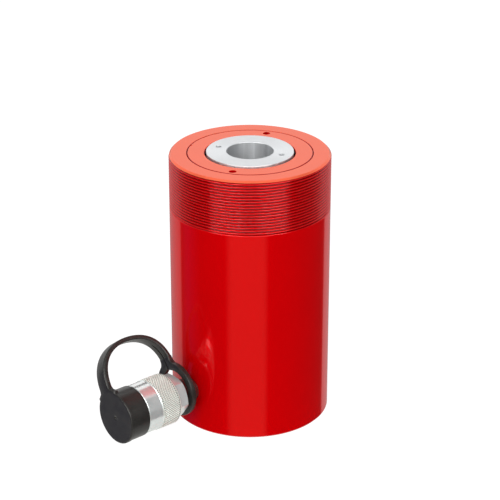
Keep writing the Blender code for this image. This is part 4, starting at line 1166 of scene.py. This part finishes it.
class HYDRAULIC_OT_dust_cap(bpy.types.Operator):
    """The soft dust cap, its strap and its ring, in one moulding"""

    bl_idname = "hydraulic.dust_cap"
    bl_label = "Dust Cap"

    def execute(self, context):
        sizes = context.scene.cap_sizes
        points, _ = outline_of("dust_cap", COUPLER)
        cap = turned_copy("dust_cap", COUPLER_STEPS, COUPLER, edge_scale=2)
        moulding = add_object("dust_cap_moulding", cap)
        rim = max(point.x for point in points)
        front = max(point.y for point in points)
        carve(moulding, self.strap(sizes, rim, front), "UNION")
        carve(moulding, self.ring(sizes), "UNION")
        carve(moulding, self.slit(sizes))
        gate = bit(sizes.gate, sizes.gate_depth, 0.0, GATE_STEPS)
        lift = Matrix.Translation((0, 0, points[0].y))
        bmesh.ops.transform(gate, matrix=lift, verts=gate.verts)
        carve(moulding, add_object("gate", gate))
        stand_on_coupler(moulding)
        shade(moulding, soft_black_rubber(), 40.0)
        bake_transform(moulding)
        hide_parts("dust_cap", "dust_cap_strap", "dust_cap_ring")
        return {"FINISHED"}

    def line(self, sizes, rim, front):
        """The strap's middle line as (station, radius) points with directions, from cap to ring."""
        inset = (sizes.strap_thickness + sizes.strap_root) / 2 + sizes.strap_setback
        start = Vector((front - inset, rim - sizes.strap_seat))
        rise = Vector((start.x, rim + sizes.strap_straight))
        end = Vector((sizes.ring_back + sizes.ring_thickness / 2, self.ring_top(sizes)))
        crest = Vector(((rise.x + end.x) / 2, rise.y + sizes.strap_height))
        shoulder = Vector(((rise.x - end.x) * sizes.crest_bow, 0))
        cap_rise = Vector((0, sizes.strap_height * sizes.cap_bow))
        ring_rise = Vector((shoulder.x / 10, sizes.strap_height * sizes.ring_bow))
        halves = (
            (rise, rise + cap_rise, crest + shoulder, crest),
            (crest, crest - shoulder, end + ring_rise, end),
        )
        line = [(start, Vector((0, 1))), ((start + rise) / 2, Vector((0, 1)))]
        for half in halves:
            line += [bezier(half, step / STRAP_STEPS) for step in range(STRAP_STEPS)]
        line.append((end, Vector((0, -1))))
        line.append((end - Vector((0, MOULD_OVERLAP)), Vector((0, -1))))
        return line

    def ring_top(self, sizes):
        """How far from the coupler's axis the strap ends and the flat ring begins."""
        lean = sizes.ring_slack * math.cos(sizes.strap_angle - sizes.ring_lean)
        return lean + sizes.ring_inner + sizes.ring_width + sizes.ring_neck

    def strap(self, sizes, rim, front):
        """The strap, swept from inside the cap's rim to the flat ring."""
        out = Vector((math.cos(sizes.strap_angle), math.sin(sizes.strap_angle), 0))
        across = Vector((-math.sin(sizes.strap_angle), math.cos(sizes.strap_angle), 0))
        line = self.line(sizes, rim, front)
        shape = bmesh.new()
        rings = []
        for index, (point, direction) in enumerate(line):
            share = 2 * index / (len(line) - 1) - 1
            end = sizes.strap_cap_width if share < 0 else sizes.strap_ring_width
            half = (sizes.strap_crest_width + (end - sizes.strap_crest_width) * abs(share)) / 2
            thickness = sizes.strap_thickness
            if share < 0:
                half += self.flare(point.y - rim + sizes.flare_drop, sizes.flare)
                # All of the extra thickness is there a third of the way from the cap to the crest
                thickness += sizes.strap_root * min(1.0, abs(share) * 1.5)
            centre = out * point.y + Vector((0, 0, point.x))
            normal = out * direction.x - Vector((0, 0, direction.y))
            section = self.section(half, thickness / 2)
            rings.append([shape.verts.new(centre + across * x + normal * y) for x, y in section])
        for low, high in zip(rings, rings[1:]):
            for side in range(len(low)):
                after = (side + 1) % len(low)
                shape.faces.new((low[side], low[after], high[after], high[side]))
        shape.faces.new(rings[0])
        shape.faces.new(rings[-1])
        bmesh.ops.recalc_face_normals(shape, faces=shape.faces)
        return add_object("strap", shape)

    def flare(self, reach, radius):
        """How much wider the strap is on each side at this reach past the start of its flare."""
        if reach >= radius:
            return 0.0
        inner = max(reach, 0.0) - radius
        return radius - math.sqrt(radius**2 - inner**2)

    def section(self, half_width, half_height):
        """The strap's section, a rectangle with round corners."""
        corner = half_height / 2
        points = []
        for turn, (x, y) in enumerate(((1, 1), (-1, 1), (-1, -1), (1, -1))):
            centre = Vector((x * (half_width - corner), y * (half_height - corner)))
            start = turn * math.pi / 2
            points += arc(centre, corner, start, start + math.pi / 2, SECTION_STEPS)
        return points

    def corner(self, sizes, centre, side):
        """The hollow corner between one side of the strap and the flat ring, from strap to ring."""
        radius = sizes.ring_inner + sizes.ring_width
        across = side * (sizes.strap_ring_width / 2 + sizes.flare)
        rise = math.sqrt((radius + sizes.flare) ** 2 - (across - centre.x) ** 2)
        middle = Vector((across, centre.y + rise))
        touch = math.atan2(centre.y - middle.y, centre.x - middle.x)
        level = math.pi if side > 0 else 0.0
        if side > 0 and touch < 0:
            touch += math.tau
        return arc(middle, sizes.flare, level, touch, CORNER_STEPS)

    def ring(self, sizes):
        """The flat ring: its strands part at the slit and go round the neck."""
        lean = sizes.ring_lean - sizes.strap_angle
        centre = Vector((-math.sin(lean), math.cos(lean))) * sizes.ring_slack
        right = self.corner(sizes, centre, 1)
        left = self.corner(sizes, centre, -1)
        start, stop = right[-1] - centre, left[-1] - centre
        begin = math.atan2(start.y, start.x)
        finish = math.atan2(stop.y, stop.x) - math.tau
        half = sizes.strap_ring_width / 2
        top = self.ring_top(sizes) + MOULD_OVERLAP / 2
        outer = [Vector((half, top))] + right
        radius = sizes.ring_inner + sizes.ring_width
        outer += arc(centre, radius, begin, finish, RING_STEPS)[1:-1]
        outer += left[::-1] + [Vector((-half, top))]
        spread = math.acos(sizes.ring_inner / sizes.ring_apex)
        begin, finish = math.pi / 2 - spread, math.pi / 2 + spread - math.tau
        inner = [centre + Vector((0, sizes.ring_apex))]
        inner += arc(centre, sizes.ring_inner, begin, finish, RING_HOLE_STEPS)
        plate = self.plate(sizes, outer)
        carve(plate, self.plate(sizes, inner, OVERRUN))
        shape = bmesh.new()
        shape.from_mesh(plate.data)
        rims = [
            edge for edge in shape.edges
            if edge.calc_face_angle(0.0) > RIM_ANGLE
            and abs(edge.verts[0].co.z - edge.verts[1].co.z) < TOUCH
        ]
        bmesh.ops.bevel(
            shape, geom=rims, offset=sizes.ring_round, offset_type="OFFSET", segments=3,
            profile=0.5, affect="EDGES", clamp_overlap=True, material=-1,
        )
        shape.to_mesh(plate.data)
        shape.free()
        return plate

    def slit(self, sizes):
        """A thin blade in the strap's middle plane, from inside the ring's hole up to a point."""
        lean = sizes.ring_slack * math.cos(sizes.strap_angle - sizes.ring_lean)
        low = lean + sizes.ring_inner + MOULD_OVERLAP
        high = lean + sizes.ring_apex + sizes.slit_length
        half = sizes.slit_width / 2
        outline = [Vector((-half, low)), Vector((half, low)), Vector((half, high))]
        outline += [Vector((0, high + sizes.slit_width * 2)), Vector((-half, high))]
        return self.plate(sizes, outline, SLIT_REACH)

    def plate(self, sizes, outline, overrun=0.0):
        """A flat plate of the ring's thickness, its outline given across and along the strap."""
        shape = bmesh.new()
        verts = [shape.verts.new((point.x, point.y, 0)) for point in outline]
        shape.faces.new(verts)
        made = bmesh.ops.extrude_face_region(shape, geom=shape.faces[:])
        verts = [item for item in made["geom"] if isinstance(item, bmesh.types.BMVert)]
        thickness = sizes.ring_thickness + 2 * overrun
        bmesh.ops.translate(shape, vec=(0, 0, thickness), verts=verts)
        place = Matrix.Rotation(sizes.strap_angle - math.pi / 2, 4, "Z")
        lift = Matrix.Translation((0, 0, sizes.ring_back - overrun))
        bmesh.ops.transform(shape, matrix=lift @ place, verts=shape.verts)
        bmesh.ops.recalc_face_normals(shape, faces=shape.faces)
        return add_object("plate", shape)


class StageSettings(bpy.types.PropertyGroup):
    """The camera and the light."""

    azimuth: angle_of("Azimuth", 48.82, "Where the camera stands, from -Y towards +X")
    elevation: angle_of("Elevation", 23.82, "How far the camera looks down")
    distance: length("Distance", 1.326, "From the camera to its target on the cylinder's axis")
    target: length("Target", 0.12181, "Height of the camera's target")
    lens: bpy.props.FloatProperty(
        name="Lens", default=133.2, unit="CAMERA", description="Focal length on a 36 mm sensor"
    )
    key_power: bpy.props.FloatProperty(
        name="Key Power", default=15.2, unit="POWER", description="Power of the key lamp"
    )
    key_size: length("Key Size", 1.2, "Diameter of the key lamp")
    key_distance: length("Key Distance", 1.6, "From the key lamp to the camera's target")
    key_turn: angle_of("Key Turn", 5, "How far left of the camera the key lamp stands")
    key_rise: bpy.props.FloatProperty(
        name="Key Rise", default=0.7, min=0.0,
        description="Height of the key lamp over the target, by its distance along the floor",
    )
    floor_size: length("Floor Size", 8.0, "Width and depth of the floor")
    even_light: bpy.props.FloatProperty(
        name="Even Light", default=0.48, min=0.0, description="Strength of the light from all round"
    )
    gloss_light: bpy.props.FloatProperty(
        name="Gloss Light", default=8.0, min=0.0, description="Strength of what the gloss shows"
    )


class HYDRAULIC_OT_stage(bpy.types.Operator):
    """The pale floor, the soft studio light and the camera"""

    bl_idname = "hydraulic.stage"
    bl_label = "Stage"

    def execute(self, context):
        settings = context.scene.stage_settings
        self.camera(context, settings)
        self.floor(settings)
        self.lamps(context, settings)
        self.world(context, settings)
        context.scene.view_settings.view_transform = "Standard"
        return {"FINISHED"}

    def camera(self, context, settings):
        """The camera at the photograph's angle."""
        back = Vector((
            math.sin(settings.azimuth) * math.cos(settings.elevation),
            -math.cos(settings.azimuth) * math.cos(settings.elevation),
            math.sin(settings.elevation),
        ))
        lens = bpy.data.cameras.new("camera")
        lens.lens = settings.lens
        lens.sensor_width = 36
        lens.clip_start = 0.05
        lens.clip_end = 20
        camera = bpy.data.objects.new("camera", lens)
        camera.location = Vector((0, 0, settings.target)) + back * settings.distance
        camera.rotation_mode = "QUATERNION"
        camera.rotation_quaternion = (-back).to_track_quat("-Z", "Y")
        context.scene.collection.objects.link(camera)
        context.scene.camera = camera

    def floor(self, settings):
        """A white floor that keeps a faint shadow. From below it lets the view through."""
        shape = bmesh.new()
        bmesh.ops.create_grid(shape, x_segments=1, y_segments=1, size=settings.floor_size / 2)
        floor = add_object("floor", shape)
        floor.visible_glossy = False
        material = bpy.data.materials.new("white_floor")
        material.use_nodes = True
        tree = material.node_tree
        tree.nodes.clear()
        seen = add_node(tree, "LightPath").outputs["Is Camera Ray"]
        below = add_node(tree, "NewGeometry").outputs["Backfacing"]
        share = add_node(tree, "Math", {0: seen, 1: 0.8}, operation="MULTIPLY").outputs["Value"]
        paper = add_node(tree, "BsdfDiffuse", {"Color": (0.9, 0.9, 0.9, 1)}).outputs["BSDF"]
        white = add_node(tree, "Emission", {"Strength": 1.2}).outputs["Emission"]
        lit = add_node(tree, "MixShader", {0: share, 1: paper, 2: white}).outputs["Shader"]
        clear = add_node(tree, "BsdfTransparent").outputs["BSDF"]
        both = add_node(tree, "MixShader", {0: below, 1: lit, 2: clear}).outputs["Shader"]
        add_node(tree, "OutputMaterial", {"Surface": both})
        floor.data.materials.append(material)

    def lamps(self, context, settings):
        """One large soft lamp from the front left, which the gloss doesn't show."""
        lamp = bpy.data.lights.new("key", "AREA")
        lamp.shape = "DISK"
        lamp.size = settings.key_size
        lamp.energy = settings.key_power
        key = bpy.data.objects.new("key", lamp)
        turn = settings.azimuth - settings.key_turn
        away = Vector((math.sin(turn), -math.cos(turn), settings.key_rise)).normalized()
        key.location = Vector((0, 0, settings.target)) + away * settings.key_distance
        key.rotation_mode = "QUATERNION"
        key.rotation_quaternion = (-away).to_track_quat("-Z", "Y")
        key.visible_glossy = False
        context.scene.collection.objects.link(key)

    def world(self, context, settings):
        """White for the camera, an even light on the object, and a studio for its gloss to show."""
        world = bpy.data.worlds.new("studio")
        world.use_nodes = True
        context.scene.world = world
        tree = world.node_tree
        tree.nodes.clear()
        gloss = self.reflections(tree, settings)
        glossy = add_node(
            tree, "Background", {"Color": gloss, "Strength": settings.gloss_light}
        ).outputs["Background"]
        even = add_node(
            tree, "Background", {"Color": (1, 1, 1, 1), "Strength": settings.even_light}
        ).outputs["Background"]
        white = add_node(
            tree, "Background", {"Color": (1, 1, 1, 1), "Strength": 1.0}
        ).outputs["Background"]
        path = add_node(tree, "LightPath")
        lit = add_node(
            tree, "MixShader", {0: path.outputs["Is Glossy Ray"], 1: even, 2: glossy}
        ).outputs["Shader"]
        seen = add_node(
            tree, "MixShader", {0: path.outputs["Is Camera Ray"], 1: lit, 2: white}
        ).outputs["Shader"]
        add_node(tree, "OutputWorld", {"Surface": seen})

    def reflections(self, tree, settings):
        """The colour of the studio that the gloss shows, in each direction."""
        facing = add_node(tree, "TexCoord").outputs["Generated"]
        turn = (0, 0, -settings.azimuth + math.pi / 2)
        local = add_node(
            tree, "Mapping", {"Vector": facing, "Rotation": turn}, vector_type="POINT"
        ).outputs["Vector"]
        axes = add_node(tree, "SeparateXYZ", {"Vector": local})
        around = add_node(
            tree, "Math", {0: axes.outputs["Y"], 1: axes.outputs["X"]}, operation="ARCTAN2"
        ).outputs["Value"]
        share = add_node(
            tree, "MapRange", {"Value": around, "From Min": -math.pi, "From Max": math.pi}
        ).outputs["Result"]
        bands = []
        for stops in (LOW_LIGHT, UPPER_LIGHT, PANELS):
            node = add_node(tree, "ValToRGB", {"Fac": share})
            for _ in stops[2:]:
                node.color_ramp.elements.new(0.5)
            for element, (place, value) in zip(node.color_ramp.elements, stops):
                element.position = place
                element.color = (*(value if isinstance(value, tuple) else (value,) * 3), 1)
            bands.append(node.outputs["Color"])
        gloss, upper, panels = bands
        # Each light takes over from the last between two heights of the reflected ray
        layers = (
            (-0.5, -0.6, TABLE), (-0.08, 0.05, upper), (0.3, 0.38, panels), (0.72, 0.8, CEILING),
            (0.95, 0.98, ZENITH),
        )
        for low, high, light in layers:
            blend = add_node(
                tree, "MapRange", {"Value": axes.outputs["Z"], "From Min": low, "From Max": high}
            ).outputs["Result"]
            gloss = add_node(
                tree, "Mix", {"Factor": blend, "A": gloss, "B": light}, data_type="RGBA"
            ).outputs["Result"]
        return gloss


# What the gloss shows below the horizon, just above it and higher up, by the share of a turn: the
# middle is the camera's side, and 0 and 1 are behind the cylinder. A value of 0.125 is white.
# Under and over them it shows the table, the ceiling and a dark gap overhead.
LOW_LIGHT = (
    (0.0, 0.06), (0.08, 0.08), (0.150, 0.105), (0.168, 0.10), (0.176, 0.01),
    (0.22, (0.014, 0.013, 0.038)), (0.29, 0.004), (0.40, 0.003), (0.425, (0.08, 0.07, 0.055)),
    (0.555, (0.08, 0.07, 0.055)), (0.575, 0.003), (0.74, 0.007), (0.868, 0.008), (0.874, 0.13),
    (0.90, 0.11), (1.0, 0.06),
)
UPPER_LIGHT = (
    (0.0, 0.17), (0.15, 0.17), (0.2, 0.08), (0.25, 0.03), (0.33, 0.03), (0.35, 0.15),
    (0.65, 0.15), (0.67, 0.03), (0.78, 0.03), (0.84, 0.17), (1.0, 0.17),
)
PANELS = (
    (0.0, 0.17), (0.15, 0.17), (0.2, 0.08), (0.25, 0.03), (0.32, 0.02), (0.34, 0.8),
    (0.46, 0.8), (0.48, 0.45), (0.53, 0.45), (0.55, 0.8), (0.65, 0.8), (0.675, 0.02),
    (0.78, 0.03), (0.84, 0.17), (1.0, 0.17),
)
TABLE = (0.11, 0.11, 0.105, 1)
CEILING = (0.11, 0.11, 0.11, 1)
ZENITH = (0.02, 0.02, 0.02, 1)


class HYDRAULIC_PT_pieces(bpy.types.Panel):
    """Lists the pieces of the cylinder"""

    bl_idname = "HYDRAULIC_PT_pieces"
    bl_label = "Hollow Plunger Cylinder"
    bl_space_type = "VIEW_3D"
    bl_region_type = "UI"
    bl_category = "Cylinder"

    def draw(self, context):
        for operator in OPERATORS:
            self.layout.operator(operator.bl_idname)
        for name in PROPERTY_GROUPS:
            box = self.layout.box()
            group = getattr(context.scene, name)
            for field in group.bl_rna.properties:
                if field.identifier not in {"rna_type", "name"}:
                    box.prop(group, field.identifier)


OPERATORS = (
    HYDRAULIC_OT_barrel,
    HYDRAULIC_OT_stop_ring,
    HYDRAULIC_OT_saddle,
    HYDRAULIC_OT_plunger,
    HYDRAULIC_OT_springs,
    HYDRAULIC_OT_coupler_body,
    HYDRAULIC_OT_coupler_sleeve,
    HYDRAULIC_OT_dust_cap,
    HYDRAULIC_OT_stage,
)
PROPERTY_GROUPS = {
    "cylinder_sizes": CylinderSizes,
    "coupler_sizes": CouplerSizes,
    "cap_sizes": CapSizes,
    "finishes": Finishes,
    "stage_settings": StageSettings,
}
CLASSES = (*PROPERTY_GROUPS.values(), *OPERATORS, HYDRAULIC_PT_pieces)


def register():
    for item in CLASSES:
        bpy.utils.register_class(item)
    for name, group in PROPERTY_GROUPS.items():
        setattr(bpy.types.Scene, name, bpy.props.PointerProperty(type=group))


def unregister():
    for name in PROPERTY_GROUPS:
        delattr(bpy.types.Scene, name)
    for item in reversed(CLASSES):
        bpy.utils.unregister_class(item)


def main():
    """Makes every piece and the stage."""
    register()
    for operator in OPERATORS:
        group, name = operator.bl_idname.split(".")
        getattr(getattr(bpy.ops, group), name)()


if __name__ == "__main__":
    main()
